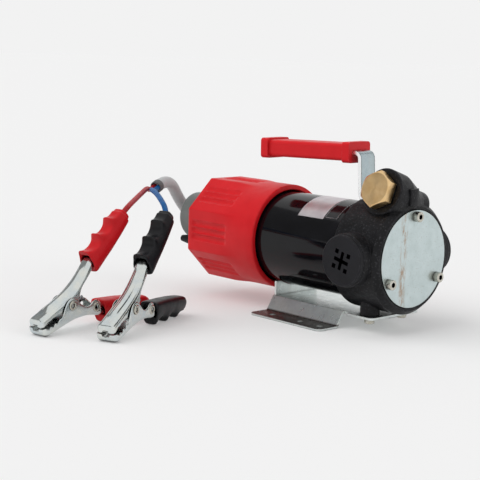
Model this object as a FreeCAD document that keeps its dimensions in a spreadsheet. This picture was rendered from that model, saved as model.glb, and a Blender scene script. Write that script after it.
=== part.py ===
import FreeCAD, Part
import Sketcher
import math
import os

Vector = FreeCAD.Vector
Rotation = FreeCAD.Rotation
Placement = FreeCAD.Placement
X, Y, Z = Vector(1, 0, 0), Vector(0, 1, 0), Vector(0, 0, 1)

# A portable transfer pump lies along X: the cover disc faces +X and the battery lead leaves at -X.
# The near port faces -Y. Lengths are millimetres and angles are degrees.
# Depths are measured from the outer face of the cover disc towards the rear.

SIZES = {
    # pump head
    "axis_height": 62.2,
    "disc_radius": 40.0,
    "disc_thick": 3.0,
    "disc_gap": 0.6,
    "rim_wall": 2.2,
    "rim_set_back": 0.5,
    "gasket_thick": 0.5,
    "gasket_inner": 31.0,
    "barrel_radius": 46.5,
    "front_bevel": 4.5,
    "head_depth": 50.0,
    "disc_screw_count": 3,
    "disc_screw_pitch": 35.0,
    "disc_screw_radius": 2.5,
    "disc_screw_length": 14.0,
    "disc_screw_head": 4.2,
    "disc_screw_head_height": 5.0,
    "disc_screw_socket": 2.3,
    "port_depth": 27.0,
    "port_reach": 54.5,
    "port_radius": 21.7,
    "port_root_radius": 22.4,
    "port_collar_length": 8.0,
    "port_taper_length": 14.0,
    "port_thread_radius": 16.5,
    "port_thread_length": 14.0,
    "port_bore": 11.0,
    "port_lid_radius": 20.7,
    "port_lid_thick": 3.5,
    "port_plug_length": 11.0,
    "port_mark_depth": 1.2,
    "port_mark_turn": -14.0,
    "port_cross_reach": 7.4,
    "port_cross_half": 1.1,
    "port_pit_spread": 6.3,
    "port_pit_half": 1.5,
    "lug_half_width": 6.9,
    "lug_front": -2.5,
    "lug_side": 8.0,
    "lug_root": 43.5,
    "lug_rear": 20.0,
    "lug_top": 58.0,
    "boss_root": 30.0,
    "edge_break": 0.8,
    "foot_boss_radius": 8.0,
    "foot_boss_spread": 20.5,
    "foot_boss_depth": 26.5,
    "flank_pad_depth": 8.5,
    "flank_pad_drop": 0.2,
    "flank_pad_half_width": 3.0,
    "flank_pad_half_height": 5.5,
    "flank_pad_proud": 1.2,
    "saddle_width": 26.0,
    "saddle_depth": 16.0,
    "saddle_height": 42.2,
    # pumping chamber
    "chamber_radius": 28.0,
    "chamber_depth": 26.0,
    "rotor_radius": 24.6,
    "rotor_drop": 2.9,
    "side_clearance": 0.2,
    "vane_count": 5,
    "vane_thick": 4.0,
    "vane_height": 10.0,
    "vane_clearance": 0.1,
    "vane_sink": 0.4,
    "key_side": 3.0,
    "key_length": 18.0,
    "shaft_radius": 5.0,
    "shaft_clearance": 0.05,
    "seal_radius": 11.0,
    "seal_width": 7.0,
    # bypass valve across the top of the head
    "valve_tilt": 18.0,
    "valve_depth": 16.0,
    "valve_side": 25.0,
    "valve_height": 55.0,
    "valve_boss_radius": 19.5,
    "valve_boss_length": 17.0,
    "valve_neck_length": 23.0,
    "valve_case_radius": 12.5,
    "valve_case_length": 52.0,
    "valve_end_round": 4.0,
    "valve_thread_radius": 11.0,
    "valve_thread_length": 10.0,
    "valve_bore_radius": 9.0,
    "valve_bore_length": 36.0,
    "valve_seat_radius": 5.0,
    "valve_seat_length": 6.0,
    "plug_flats": 27.0,
    "plug_turn": 34.0,
    "plug_height": 8.5,
    "plug_chamfer": 2.0,
    "plug_seal_thick": 1.2,
    "plug_seal_radius": 13.2,
    "poppet_clearance": 0.06,
    "poppet_length": 8.0,
    "poppet_stem_radius": 4.2,
    "poppet_stem_length": 5.0,
    "seat_gap": 0.3,
    "valve_wire": 0.7,
    "valve_coil_radius": 6.4,
    "valve_coil_turns": 5,
    # motor
    "flange_width": 4.0,
    "flange_groove": 0.8,
    "tube_radius": 40.75,
    "tube_wall": 3.0,
    "tube_length": 136.0,
    "spigot_clearance": 0.05,
    "spigot_length": 8.0,
    "front_bearing_radius": 13.0,
    "front_bearing_width": 8.0,
    "magnet_inner": 31.2,
    "magnet_lead": 2.0,
    "magnet_length": 52.0,
    "magnet_spread": 116.0,
    "core_radius": 30.4,
    "core_length": 48.0,
    "winding_radius": 24.0,
    "winding_length": 9.0,
    "winding_gap": 5.0,
    "commutator_gap": 5.0,
    "commutator_length": 18.0,
    "commutator_radius": 14.0,
    "brush_side": 8.0,
    "brush_length": 12.0,
    "brush_clearance": 0.2,
    "holder_gap": 2.0,
    "holder_thick": 3.0,
    "holder_inner": 17.0,
    "holder_wall": 1.6,
    "brush_wire": 0.35,
    "brush_coil_radius": 2.6,
    "brush_coil_turns": 4,
    "bell_length": 8.0,
    "rear_bearing_radius": 9.5,
    "rear_bearing_width": 6.0,
    "journal_radius": 4.0,
    "tie_bolt_radius": 2.0,
    "tie_bolt_pitch": 34.3,
    "tie_bolt_head": 3.6,
    "tie_bolt_head_height": 3.0,
    # red cap and what is on its rear wall
    "cap_front_depth": 141.4,
    "cap_length": 86.6,
    "cap_radius": 46.6,
    "cap_mouth_radius": 42.0,
    "cap_corner_radius": 49.0,
    "cap_facet_length": 52.0,
    "cap_facet_fade": 8.0,
    "cap_wall": 3.0,
    "cap_seat_length": 50.0,
    "cap_seat_clearance": 0.3,
    "cap_lip": 1.5,
    "flute_count": 3,
    "flute_width": 3.4,
    "flute_pitch": 6.4,
    "flute_depth": 0.8,
    "flute_length": 50.0,
    "cap_screw_side": 22.0,
    "cap_screw_drop": 26.0,
    "cap_screw_radius": 1.6,
    "cap_screw_length": 35.0,
    "cap_post_radius": 4.2,
    "cap_screw_head": 3.4,
    "cap_screw_head_height": 2.2,
    "cover_side": 15.5,
    "cover_rise": 8.0,
    "cover_radius": 21.8,
    "cover_length": 22.0,
    "cover_wall": 2.4,
    "cover_round": 2.0,
    "lead_hole_radius": 8.0,
    "gland_side": 3.0,
    "gland_rise": 3.8,
    "gland_radius": 8.0,
    "gland_length": 5.0,
    "gland_flats": 19.0,
    "switch_side": 34.6,
    "switch_drop": 12.2,
    "switch_body_radius": 3.9,
    "switch_body_length": 18.0,
    "bush_radius": 4.1,
    "bush_clearance": 0.1,
    "bezel_radius": 5.6,
    "bezel_thick": 1.5,
    "lever_ball_radius": 2.4,
    "lever_ball_clearance": 0.1,
    "lever_neck_radius": 1.6,
    "lever_start": 3.2,
    "lever_base_radius": 5.2,
    "lever_tip_radius": 3.0,
    "lever_length": 16.8,
    # carry handle
    "strap_width": 20.0,
    "strap_thick": 3.0,
    "strap_bend": 5.0,
    "strap_depth": 53.5,
    "strap_foot_length": 17.0,
    "strap_rise": 38.6,
    "strap_lean": 4.0,
    "strap_droop": 1.6,
    "strap_reach": 104.0,
    "handle_yaw": 5.5,
    "strap_hole_radius": 3.0,
    "strap_hole_depth": 42.0,
    "strap_screw_length": 12.0,
    "strap_screw_head": 5.0,
    "strap_screw_head_height": 3.4,
    "grip_start": 7.0,
    "grip_length": 95.5,
    "grip_width": 26.0,
    "grip_height": 14.5,
    "grip_flange_width": 30.0,
    "grip_flange_height": 17.5,
    "grip_flange_length": 7.5,
    "grip_round": 3.0,
    # bracket
    "sheet": 2.0,
    "foot_front_depth": 49.5,
    "foot_length": 82.4,
    "foot_outer": 56.3,
    "foot_inner": 34.3,
    "crease_side": 26.8,
    "deck_height": 13.9,
    "deck_front_depth": 15.6,
    "deck_half_width": 30.7,
    "deck_corner": 4.0,
    "notch_length": 6.5,
    "notch_inset": 1.0,
    "foot_corner": 5.0,
    "foot_hole_radius": 2.75,
    "foot_hole_side": 46.0,
    "foot_hole_front": 58.0,
    "foot_hole_middle": 80.5,
    "foot_hole_rear": 113.5,
    "cradle_height": 12.5,
    "cradle_half_width": 26.0,
    "cradle_clearance": 0.3,
    "deck_bolt_radius": 2.5,
    "deck_bolt_length": 12.0,
    "deck_bolt_head": 4.25,
    "deck_bolt_head_height": 5.0,
    # battery lead
    "sheath_radius": 5.5,
    "wire_radius": 2.3,
    "wire_offset": 2.5,
    # clamps
    "jaw_wall": 1.2,
    "lower_jaw_width": 18.5,
    "upper_jaw_width": 15.5,
    "rivet_radius": 2.5,
    "rivet_head": 4.2,
    "rivet_head_height": 1.2,
    "rivet_clearance": 0.05,
    "ear_hole_radius": 1.9,
    "upper_handle_angle": 24.0,
    "lower_handle_angle": 20.0,
    "grip_side": 15.0,
    "grip_depth": 15.8,
    "sleeve_round": 5.0,
    "clamp_grip_start": 36.0,
    "clamp_grip_length": 56.0,
    "upper_grip_offset": 8.8,
    "lower_grip_offset": 11.9,
    "finger_depth": 4.6,
    "bar_start": 30.0,
    "bar_width": 11.0,
    "bar_inner": 6.2,
    "bar_outer": 0.2,
    "bar_end_gap": 4.0,
    "clamp_wire": 0.9,
    "clamp_coil_radius": 4.4,
    "clamp_coil_turns": 3,
    "clamp_coil_gap": 0.5,
    "upper_leg_angle": 17.0,
    "upper_leg_length": 15.0,
    "lower_leg_angle": 29.0,
    "lower_leg_length": 25.0,
    "wire_tail": 14.0,
    "wire_side": 3.0,
}

# Corners of the lead's route, from the gland to the clamps, as (depth, y, height above the floor).
SHEATH_ROUTE = [(272.0, -3.0, 66.0), (278.8, -12.0, 79.5), (272.0, -33.0, 105.0), (266.0, -51.0, 97.8)]
RED_ROUTE = [(253.5, -73.5, 98.5), (232.5, -97.0, 98.6), (203.5, -132.5, 93.5)]
BLUE_ROUTE = [(250.0, -70.0, 96.5), (234.0, -84.0, 99.0), (204.0, -101.5, 98.5), (175.5, -118.0, 96.5)]

# Rivet of each clamp: depth, y and the compass angle from its nose to its handles.
CLAMPS = {
    "red": (173.0, -220.1, 98.4),
    "black": (132.1, -190.6, 112.0),
}

# Side outlines of the clamp jaws about the rivet: the web from the nose to the handle, then the open edge.
UPPER_WEB = [(-33.4, -3.6), (-33.8, 0.0), (-32.3, 2.8), (-20.0, 4.6), (-5.0, 6.7), (6.0, 9.2), (15.0, 12.9),
             (23.0, 17.7), (29.2, 22.3)]
UPPER_EDGE = [(31.9, 16.1), (27.5, 13.7), (14.5, 7.6), (10.5, 1.0), (6.0, -4.5), (-3.0, -5.0), (-11.0, -1.8),
              (-17.0, -0.6), (-26.0, -1.6), (-31.5, -3.6)]
LOWER_WEB = [(-33.4, -4.2), (-34.2, -8.8), (-31.0, -12.3), (-14.0, -12.2), (0.0, -12.8), (11.0, -15.3),
             (20.0, -19.2), (27.0, -22.7)]
LOWER_EDGE = [(31.0, -15.0), (28.0, -11.6), (24.0, -9.6), (18.5, -9.8), (11.0, -6.2), (5.5, 3.0), (1.0, 6.0),
              (-5.0, 4.4), (-11.0, -2.4), (-17.0, -5.2), (-26.0, -6.2), (-31.5, -4.2)]
EAR_HOLE = (23.2, -14.3)

doc = FreeCAD.newDocument("TransferPump")
sheet = doc.addObject("Spreadsheet::Sheet", "Sizes")
for row, (name, number) in enumerate(SIZES.items(), start=1):
    sheet.set(f"A{row}", name)
    sheet.set(f"B{row}", str(number))
    sheet.setAlias(f"B{row}", name)
doc.recompute()

NODES = []


class Size:
    """A length or an angle that keeps its value beside the cell expression it comes from."""

    def __init__(self, value, text):
        self.value = value
        self.text = text

    def __add__(self, other):
        other = size(other)
        return Size(self.value + other.value, f"({self.text} + {other.text})")

    def __sub__(self, other):
        other = size(other)
        return Size(self.value - other.value, f"({self.text} - {other.text})")

    def __mul__(self, other):
        other = size(other)
        return Size(self.value * other.value, f"({self.text} * {other.text})")

    def __truediv__(self, other):
        other = size(other)
        return Size(self.value / other.value, f"({self.text} / {other.text})")

    def __radd__(self, other):
        return size(other) + self

    def __rsub__(self, other):
        return size(other) - self

    def __rmul__(self, other):
        return size(other) * self

    def __neg__(self):
        return Size(-self.value, f"(-1 * {self.text})")


def size(number):
    return number if isinstance(number, Size) else Size(float(number), f"({float(number)})")


def cos(angle):
    angle = size(angle)
    return Size(math.cos(math.radians(angle.value)), f"cos({angle.text})")


def sin(angle):
    angle = size(angle)
    return Size(math.sin(math.radians(angle.value)), f"sin({angle.text})")


def tan(angle):
    angle = size(angle)
    return Size(math.tan(math.radians(angle.value)), f"tan({angle.text})")


class Cells:
    pass


d = Cells()
for name, number in SIZES.items():
    setattr(d, name, Size(float(number), f"Sizes.{name}"))

# The rear face of the terminal cover and the heads of the disc screws are the two ends of the object.
rear_depth = d.cap_front_depth + d.cap_length + d.cover_length
front_x = (rear_depth - d.disc_screw_head_height) / 2
tube_start = d.head_depth + d.flange_width
tube_end = tube_start + d.tube_length
bell_end = tube_end + d.bell_length
cap_rear = d.cap_front_depth + d.cap_length
core_depth = tube_start + d.spigot_length + d.winding_gap + d.winding_length
core_end = core_depth + d.core_length
commutator_depth = core_end + d.winding_length + d.commutator_gap
commutator_end = commutator_depth + d.commutator_length
head_floor = d.disc_thick + d.gasket_thick
chamber_end = head_floor + d.chamber_depth
on_axis = (front_x, 0, d.axis_height)


def bind(item, prop, amount):
    amount = size(amount)
    setattr(item, prop, amount.value)
    item.setExpression(prop, amount.text)


def place(item, at=(0, 0, 0), turn=Rotation()):
    spot = [size(part) for part in at]
    item.Placement = Placement(Vector(*[part.value for part in spot]), turn)
    for letter, part in zip("xyz", spot):
        item.setExpression(f"Placement.Base.{letter}", part.text)
    return item


def depth(amount):
    return front_x - amount


def new_body(label, at=(0, 0, 0), turn=Rotation()):
    body = doc.addObject("PartDesign::Body", "Body")
    body.Label = label
    return place(body, at, turn)


def draw(body, plane, loops, offset=0):
    """Adds a fully dimensioned sketch: a loop is ("circle", x, y, r) or a list of corners.
    A corner is (x, y), or (x, y, r, side) where an arc of radius r arrives; r None is a half circle."""
    drawing = new_sketch(body, plane)
    offset = size(offset)
    drawing.AttachmentOffset = Placement(Vector(0, 0, offset.value), Rotation())
    drawing.setExpression("AttachmentOffset.Base.z", offset.text)
    for loop in loops:
        if loop[0] == "circle":
            add_circle(drawing, *loop[1:])
        else:
            add_outline(drawing, loop)
    return drawing


def new_sketch(body, plane):
    drawing = body.newObject("Sketcher::SketchObject", "Sketch")
    support = [item for item in body.Origin.OriginFeatures if item.Role == plane][0]
    drawing.AttachmentSupport = [(support, "")]
    drawing.MapMode = "FlatFace"
    return drawing


def fix(drawing, kind, refs, amount):
    amount = size(amount)
    index = drawing.addConstraint(Sketcher.Constraint(kind, *refs, amount.value))
    drawing.setExpression(f"Constraints[{index}]", amount.text)


def fix_point(drawing, index, end, x, y):
    fix(drawing, "DistanceX", (-1, 1, index, end), x)
    fix(drawing, "DistanceY", (-1, 1, index, end), y)


def add_circle(drawing, x, y, radius):
    centre = Vector(size(x).value, size(y).value, 0)
    index = drawing.addGeometry(Part.Circle(centre, Z, size(radius).value), False)
    fix_point(drawing, index, 3, x, y)
    fix(drawing, "Radius", (index,), radius)


def add_edge(drawing, previous, corner):
    """Draws the edge that arrives at a corner and gives its index with its first and last end."""
    begin, finish = (Vector(size(spot[0]).value, size(spot[1]).value, 0) for spot in (previous, corner))
    if len(corner) == 2:
        return drawing.addGeometry(Part.LineSegment(begin, finish), False), 1, 2
    radius, side = corner[2:]
    chord = finish - begin
    reach = 0
    if radius is not None:
        reach = math.sqrt(max(size(radius).value ** 2 - chord.Length ** 2 / 4, 0))
    centre = (begin + finish) / 2 + Vector(-chord.y, chord.x, 0) / chord.Length * reach * side
    first, last = (begin, finish) if side > 0 else (finish, begin)
    turns = [math.atan2(spot.y - centre.y, spot.x - centre.x) for spot in (first, last)]
    circle = Part.Circle(centre, Z, (begin - centre).Length)
    index = drawing.addGeometry(Part.ArcOfCircle(circle, turns[0], turns[1]), False)
    if radius is not None:
        fix(drawing, "Radius", (index,), radius)
    elif abs(chord.x) > abs(chord.y):
        fix(drawing, "DistanceY", (-1, 1, index, 3), (size(previous[1]) + corner[1]) / 2)
    else:
        fix(drawing, "DistanceX", (-1, 1, index, 3), (size(previous[0]) + corner[0]) / 2)
    return (index, 1, 2) if side > 0 else (index, 2, 1)


def add_outline(drawing, corners, closed=True):
    ends = [add_edge(drawing, corners[number - 1], corners[number])
            for number in range(0 if closed else 1, len(corners))]
    reached = corners if closed else corners[1:]
    if not closed:
        fix_point(drawing, ends[0][0], ends[0][1], *corners[0][:2])
    for number, (index, begin, finish) in enumerate(ends):
        if closed or number + 1 < len(ends):
            following = ends[(number + 1) % len(ends)]
            drawing.addConstraint(Sketcher.Constraint("Coincident", index, finish, following[0], following[1]))
        fix_point(drawing, index, finish, *reached[number][:2])


def pad(body, drawing, length, symmetric=False, reverse=False):
    feature = body.newObject("PartDesign::Pad", "Pad")
    feature.Profile = drawing
    bind(feature, "Length", length)
    feature.Midplane = symmetric
    feature.Reversed = reverse
    doc.recompute()
    return feature


def pocket(body, drawing, length, symmetric=False, reverse=False):
    before = body.Shape.Volume
    feature = body.newObject("PartDesign::Pocket", "Pocket")
    feature.Profile = drawing
    bind(feature, "Length", length)
    feature.Midplane = symmetric
    feature.Reversed = reverse
    doc.recompute()
    if body.Shape.Volume > before - 0.01:
        raise RuntimeError(f"{body.Label}: a pocket removes nothing")
    return feature


def spin(body, drawing, angle=360, groove=False):
    before = body.Shape.Volume if groove else 0
    feature = body.newObject("PartDesign::Groove" if groove else "PartDesign::Revolution", "Spin")
    feature.Profile = drawing
    feature.ReferenceAxis = (drawing, ["H_Axis"])
    bind(feature, "Angle", angle)
    doc.recompute()
    if groove and body.Shape.Volume > before - 0.01:
        raise RuntimeError(f"{body.Label}: a groove removes nothing")
    return feature


def around_x(body, features, count):
    pattern = body.newObject("PartDesign::PolarPattern", "Pattern")
    pattern.Originals = features
    axis = [item for item in body.Origin.OriginFeatures if item.Role == "X_Axis"][0]
    pattern.Axis = (axis, [""])
    pattern.Angle = 360
    pattern.Occurrences = int(size(count).value)
    pattern.setExpression("Occurrences", size(count).text)
    body.Tip = pattern
    doc.recompute()


def turned(label, corners, at=on_axis, turn=Rotation(), angle=360):
    """A body of revolution about its own X axis, from corners given as (x, radius)."""
    body = new_body(label, at, turn)
    spin(body, draw(body, "XZ_Plane", [corners]), angle)
    return body


def rod(x1, x2, radius):
    return [(x1, 0), (x2, 0), (x2, radius), (x1, radius)]


def ring(x1, x2, inner, outer):
    return [(x1, inner), (x2, inner), (x2, outer), (x1, outer)]


def regular(sides, flats, turn):
    """Corners of a regular polygon about the origin, by its width across flats."""
    reach = flats / 2 / cos(180 / sides)
    return [(reach * cos(turn + 360 * number / sides), reach * sin(turn + 360 * number / sides))
            for number in range(sides)]


def solid(kind, at, turn=Rotation(), **amounts):
    item = doc.addObject(f"Part::{kind}", kind)
    for prop, amount in amounts.items():
        bind(item, prop, amount)
    return place(item, at, turn)


def join(label, items):
    item = doc.addObject("Part::MultiFuse", "Join")
    item.Shapes = items
    item.Refine = True
    item.Label = label
    return item


def carve(label, base, tools):
    item = doc.addObject("Part::Cut", "Cut")
    item.Base = base
    item.Tool = tools[0] if len(tools) == 1 else join(f"{label}_tools", tools)
    item.Refine = True
    item.Label = label
    doc.recompute()
    if item.Shape.Volume > base.Shape.Volume - 0.01:
        raise RuntimeError(f"{label}: a cut removes nothing")
    return item


def made(label, shape, at=(0, 0, 0), turn=Rotation()):
    item = doc.addObject("Part::Feature", "Made")
    item.Shape = shape
    item.Label = label
    return place(item, at, turn)


def keep(item):
    NODES.append(item)
    return item


def turn_about(axis, angle):
    return Rotation(axis, angle)


TO_Y = turn_about(Z, 90)
TO_MINUS_Y = turn_about(Z, -90)
TO_Z = turn_about(Y, -90)
TO_MINUS_Z = turn_about(Y, 90)
CYLINDER_TO_X = turn_about(Y, 90)


def side_of(side):
    return TO_Y if side > 0 else TO_MINUS_Y


def valve_turn():
    return turn_about(X, -d.valve_tilt.value) * TO_Y


valve_at = (depth(d.valve_depth), -d.valve_side, d.axis_height + d.valve_height)


# Pump head

def make_housing():
    rim = d.disc_radius + d.disc_gap + d.rim_wall
    barrel = turned("barrel", [
        (-d.rim_set_back, 0), (-d.rim_set_back, rim), (-d.rim_set_back - d.front_bevel, d.barrel_radius),
        (-d.head_depth + 2, d.barrel_radius), (-d.head_depth, d.barrel_radius - 2), (-d.head_depth, 0)])
    parts = [barrel]
    collar = d.port_reach - d.port_collar_length
    for side in (1, -1):
        parts.append(turned("port", [
            (0, 0), (0, d.port_root_radius), (collar - d.port_taper_length, d.port_root_radius),
            (collar, d.port_radius), (d.port_reach - 1, d.port_radius),
            (d.port_reach, d.port_radius - 1), (d.port_reach, 0)],
            at=(depth(d.port_depth), 0, d.axis_height), turn=side_of(side)))
        parts.append(solid("Cylinder", at=(depth(d.foot_boss_depth), side * d.foot_boss_spread, d.deck_height),
                           Radius=d.foot_boss_radius, Height=d.axis_height - d.deck_height - d.boss_root))
    neck_end = d.valve_boss_length + d.valve_neck_length
    parts.append(turned("valve_case", [
        (0, 0), (0, d.valve_boss_radius - d.edge_break), (d.edge_break, d.valve_boss_radius),
        (d.valve_boss_length, d.valve_boss_radius),
        (neck_end, d.valve_case_radius), (d.valve_case_length - d.valve_end_round, d.valve_case_radius),
        (d.valve_case_length, d.valve_case_radius - d.valve_end_round), (d.valve_case_length, 0)],
        at=valve_at, turn=valve_turn()))
    parts.append(solid("Box", at=(depth(d.lug_rear), -d.lug_side - d.lug_half_width, d.axis_height + d.lug_root),
                       Length=d.lug_rear - d.lug_front, Width=2 * d.lug_half_width,
                       Height=d.lug_top - d.lug_root))
    for side in (1, -1):
        parts.append(make_oval_pad(side))
    block = join("housing_block", parts)

    thread_end = d.port_reach - d.port_thread_length
    tools = [
        turned("disc_recess", rod(1, -head_floor, d.disc_radius + d.disc_gap)),
        turned("chamber", rod(-head_floor + 1, -chamber_end, d.chamber_radius),
               at=(front_x, 0, d.axis_height - d.rotor_drop)),
        turned("seal_pocket", [
            (-chamber_end + 1, 0), (-chamber_end + 1, d.shaft_radius + 0.6),
            (-d.head_depth + d.seal_width, d.shaft_radius + 0.6), (-d.head_depth + d.seal_width, d.seal_radius),
            (-d.head_depth - 1, d.seal_radius), (-d.head_depth - 1, 0)]),
        turned("valve_bore", [
            (-1, 0), (-1, d.valve_thread_radius), (d.valve_thread_length + 1, d.valve_thread_radius),
            (d.valve_thread_length + 1, d.valve_bore_radius), (d.valve_bore_length, d.valve_bore_radius),
            (d.valve_bore_length, d.valve_seat_radius),
            (d.valve_bore_length + d.valve_seat_length, d.valve_seat_radius),
            (d.valve_bore_length + d.valve_seat_length, 0)], at=valve_at, turn=valve_turn()),
        solid("Box", at=(depth(d.head_depth) - 1, -d.saddle_width / 2, d.axis_height + d.saddle_height),
              Length=d.saddle_depth + 1, Width=d.saddle_width, Height=20),
        solid("Cylinder", at=(depth(d.strap_hole_depth), 0,
                              d.axis_height + d.saddle_height + d.strap_thick - d.strap_screw_length),
              Radius=d.strap_hole_radius, Height=d.strap_screw_length),
    ]
    for side in (1, -1):
        tools.append(turned("port_bore", [
            (d.port_reach + 1, 0), (d.port_reach + 1, d.port_thread_radius), (thread_end, d.port_thread_radius),
            (thread_end, d.port_bore), (d.chamber_radius - 6, d.port_bore), (d.chamber_radius - 6, 0)],
            at=(depth(d.port_depth), 0, d.axis_height), turn=side_of(side)))
        tools.append(solid("Cylinder", at=(depth(d.foot_boss_depth), side * d.foot_boss_spread,
                                           d.deck_height - 1),
                           Radius=d.deck_bolt_radius, Height=d.deck_bolt_length - d.sheet + 1))
    for number in range(int(d.disc_screw_count.value)):
        turn = 90 + number * 360 / d.disc_screw_count.value
        tools.append(solid("Cylinder", turn=CYLINDER_TO_X,
                           at=(depth(d.disc_screw_length + d.disc_thick),
                               d.disc_screw_pitch * cos(turn), d.axis_height + d.disc_screw_pitch * sin(turn)),
                           Radius=d.disc_screw_radius, Height=d.disc_screw_length + 2))
    keep(carve("pump_housing", block, tools))


def make_oval_pad(side):
    """The small upright casting pad on the flank of the head."""
    body = new_body("oval_pad", at=(depth(d.flank_pad_depth), 0, d.axis_height - d.flank_pad_drop))
    half, width = d.flank_pad_half_height, d.flank_pad_half_width
    face = d.barrel_radius + d.flank_pad_proud
    drawing = draw(body, "XZ_Plane", [[
        (-width, -half), (width, -half, None, 1), (width, half), (-width, half, None, 1)]],
        offset=-side * face)
    pad(body, drawing, d.front_bevel + d.flank_pad_proud, reverse=side < 0)
    return body


def make_cover_disc():
    disc = turned("front_plate", rod(0, -d.disc_thick, d.disc_radius))
    holes = []
    for number in range(int(d.disc_screw_count.value)):
        turn = 90 + number * 360 / d.disc_screw_count.value
        holes.append(("circle", d.disc_screw_pitch * cos(turn), d.disc_screw_pitch * sin(turn),
                      d.disc_screw_radius))
    pocket(disc, draw(disc, "YZ_Plane", holes), d.disc_thick)
    keep(disc)
    gasket = turned("plate_gasket", ring(-d.disc_thick, -head_floor, d.gasket_inner, d.disc_radius))
    pocket(gasket, draw(gasket, "YZ_Plane", holes), head_floor)
    keep(gasket)
    screws = []
    for number in range(int(d.disc_screw_count.value)):
        turn = 90 + number * 360 / d.disc_screw_count.value
        screw = turned("screw", [
            (-d.disc_screw_length, 0), (-d.disc_screw_length, d.disc_screw_radius),
            (0, d.disc_screw_radius), (0, d.disc_screw_head),
            (d.disc_screw_head_height - 0.4, d.disc_screw_head),
            (d.disc_screw_head_height, d.disc_screw_head - 0.4), (d.disc_screw_head_height, 0)],
            at=(front_x, d.disc_screw_pitch * cos(turn), d.axis_height + d.disc_screw_pitch * sin(turn)))
        socket = draw(screw, "YZ_Plane", [regular(6, 2 * d.disc_screw_socket * cos(30), 30)],
                      offset=d.disc_screw_head_height)
        pocket(screw, socket, 2.6)
        screws.append(screw)
    keep(join("plate_screws", screws))


def make_port_plug(label, side):
    plug = turned(label, [
        (-d.port_plug_length, 0), (-d.port_plug_length, d.port_thread_radius - 1.5),
        (-d.port_plug_length + 1.5, d.port_thread_radius), (0, d.port_thread_radius),
        (0, d.port_lid_radius), (d.port_lid_thick - 0.8, d.port_lid_radius),
        (d.port_lid_thick, d.port_lid_radius - 0.8), (d.port_lid_thick, 0)],
        at=(depth(d.port_depth), side * d.port_reach, d.axis_height),
        turn=side_of(side) * turn_about(X, -side * d.port_mark_turn.value))
    arm, bar, pit, spread = d.port_cross_reach, d.port_cross_half, d.port_pit_half, d.port_pit_spread
    cross = [(-arm, -bar), (-bar, -bar), (-bar, -arm), (bar, -arm), (bar, -bar), (arm, -bar),
             (arm, bar), (bar, bar), (bar, arm), (-bar, arm), (-bar, bar), (-arm, bar)]
    loops = [cross]
    for y in (-spread, spread):
        for z in (-spread, spread):
            loops.append([(y - pit, z - pit), (y + pit, z - pit), (y + pit, z + pit), (y - pit, z + pit)])
    pocket(plug, draw(plug, "YZ_Plane", loops, offset=d.port_lid_thick), d.port_mark_depth)
    keep(plug)


def make_valve():
    hex_end = -d.plug_seal_thick - d.plug_height
    corner = d.plug_flats / 2 / cos(30)
    well = d.valve_thread_length - 6
    body = new_body("bypass_plug", valve_at, valve_turn())
    hexagon = draw(body, "YZ_Plane", [regular(6, d.plug_flats, d.plug_turn)], offset=-d.plug_seal_thick)
    pad(body, hexagon, d.plug_height, reverse=True)
    spin(body, draw(body, "XZ_Plane", [[
        (hex_end - 1, d.plug_flats / 2 - 0.6), (hex_end, d.plug_flats / 2 - 0.6),
        (hex_end + d.plug_chamfer, corner + 0.2), (hex_end + d.plug_chamfer, corner + 3),
        (hex_end - 1, corner + 3)]]), groove=True)
    spin(body, draw(body, "XZ_Plane", [rod(-d.plug_seal_thick - 1, d.valve_thread_length,
                                           d.valve_thread_radius)]))
    spin(body, draw(body, "XZ_Plane", [rod(well, d.valve_thread_length + 1,
                                           d.valve_coil_radius + d.valve_wire + 0.3)]), groove=True)
    keep(body)
    keep(turned("bypass_seal", ring(-d.plug_seal_thick, 0, d.valve_thread_radius, d.plug_seal_radius),
                at=valve_at, turn=valve_turn()))
    nose = d.valve_bore_length - d.seat_gap
    back = nose - d.poppet_length
    head = d.valve_bore_radius - d.poppet_clearance
    keep(turned("bypass_poppet", [
        (back - d.poppet_stem_length, 0), (back - d.poppet_stem_length, d.poppet_stem_radius),
        (back, d.poppet_stem_radius), (back, head), (nose - 3, head),
        (nose, d.valve_seat_radius + 0.6), (nose, 0)], at=valve_at, turn=valve_turn()))
    wire = d.valve_wire.value
    length = back.value - well.value - 2 * wire
    coil = coil_shape("bypass_spring", d.valve_coil_radius.value, well.value + wire, length,
                      d.valve_coil_turns.value, wire)
    keep(made("bypass_spring", coil, valve_at, valve_turn()))


# Tubes and springs

def biarc(start, start_way, end, end_way):
    """Two arcs that leave start along start_way and reach end along end_way."""
    span = end - start
    ways = start_way + end_way
    a = 2 * (1 - start_way.dot(end_way))
    b = 2 * span.dot(ways)
    c = -span.dot(span)
    reach = -c / b if abs(a) < 1e-9 else (-b + math.sqrt(b * b - 4 * a * c)) / (2 * a)
    meet = (start + start_way * reach + end - end_way * reach) / 2
    return [arc_from(start, start_way, meet), arc_from(end, -end_way, meet, back=True)]


def arc_from(start, way, end, back=False):
    chord = end - start
    side = (chord - way * chord.dot(way)).normalize()
    bend = chord.dot(chord) / (2 * chord.dot(side))
    centre = start + side * bend
    middle = (start + end) / 2 - centre
    top = centre + middle.normalize() * bend
    return Part.Arc(end, top, start) if back else Part.Arc(start, top, end)


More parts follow.
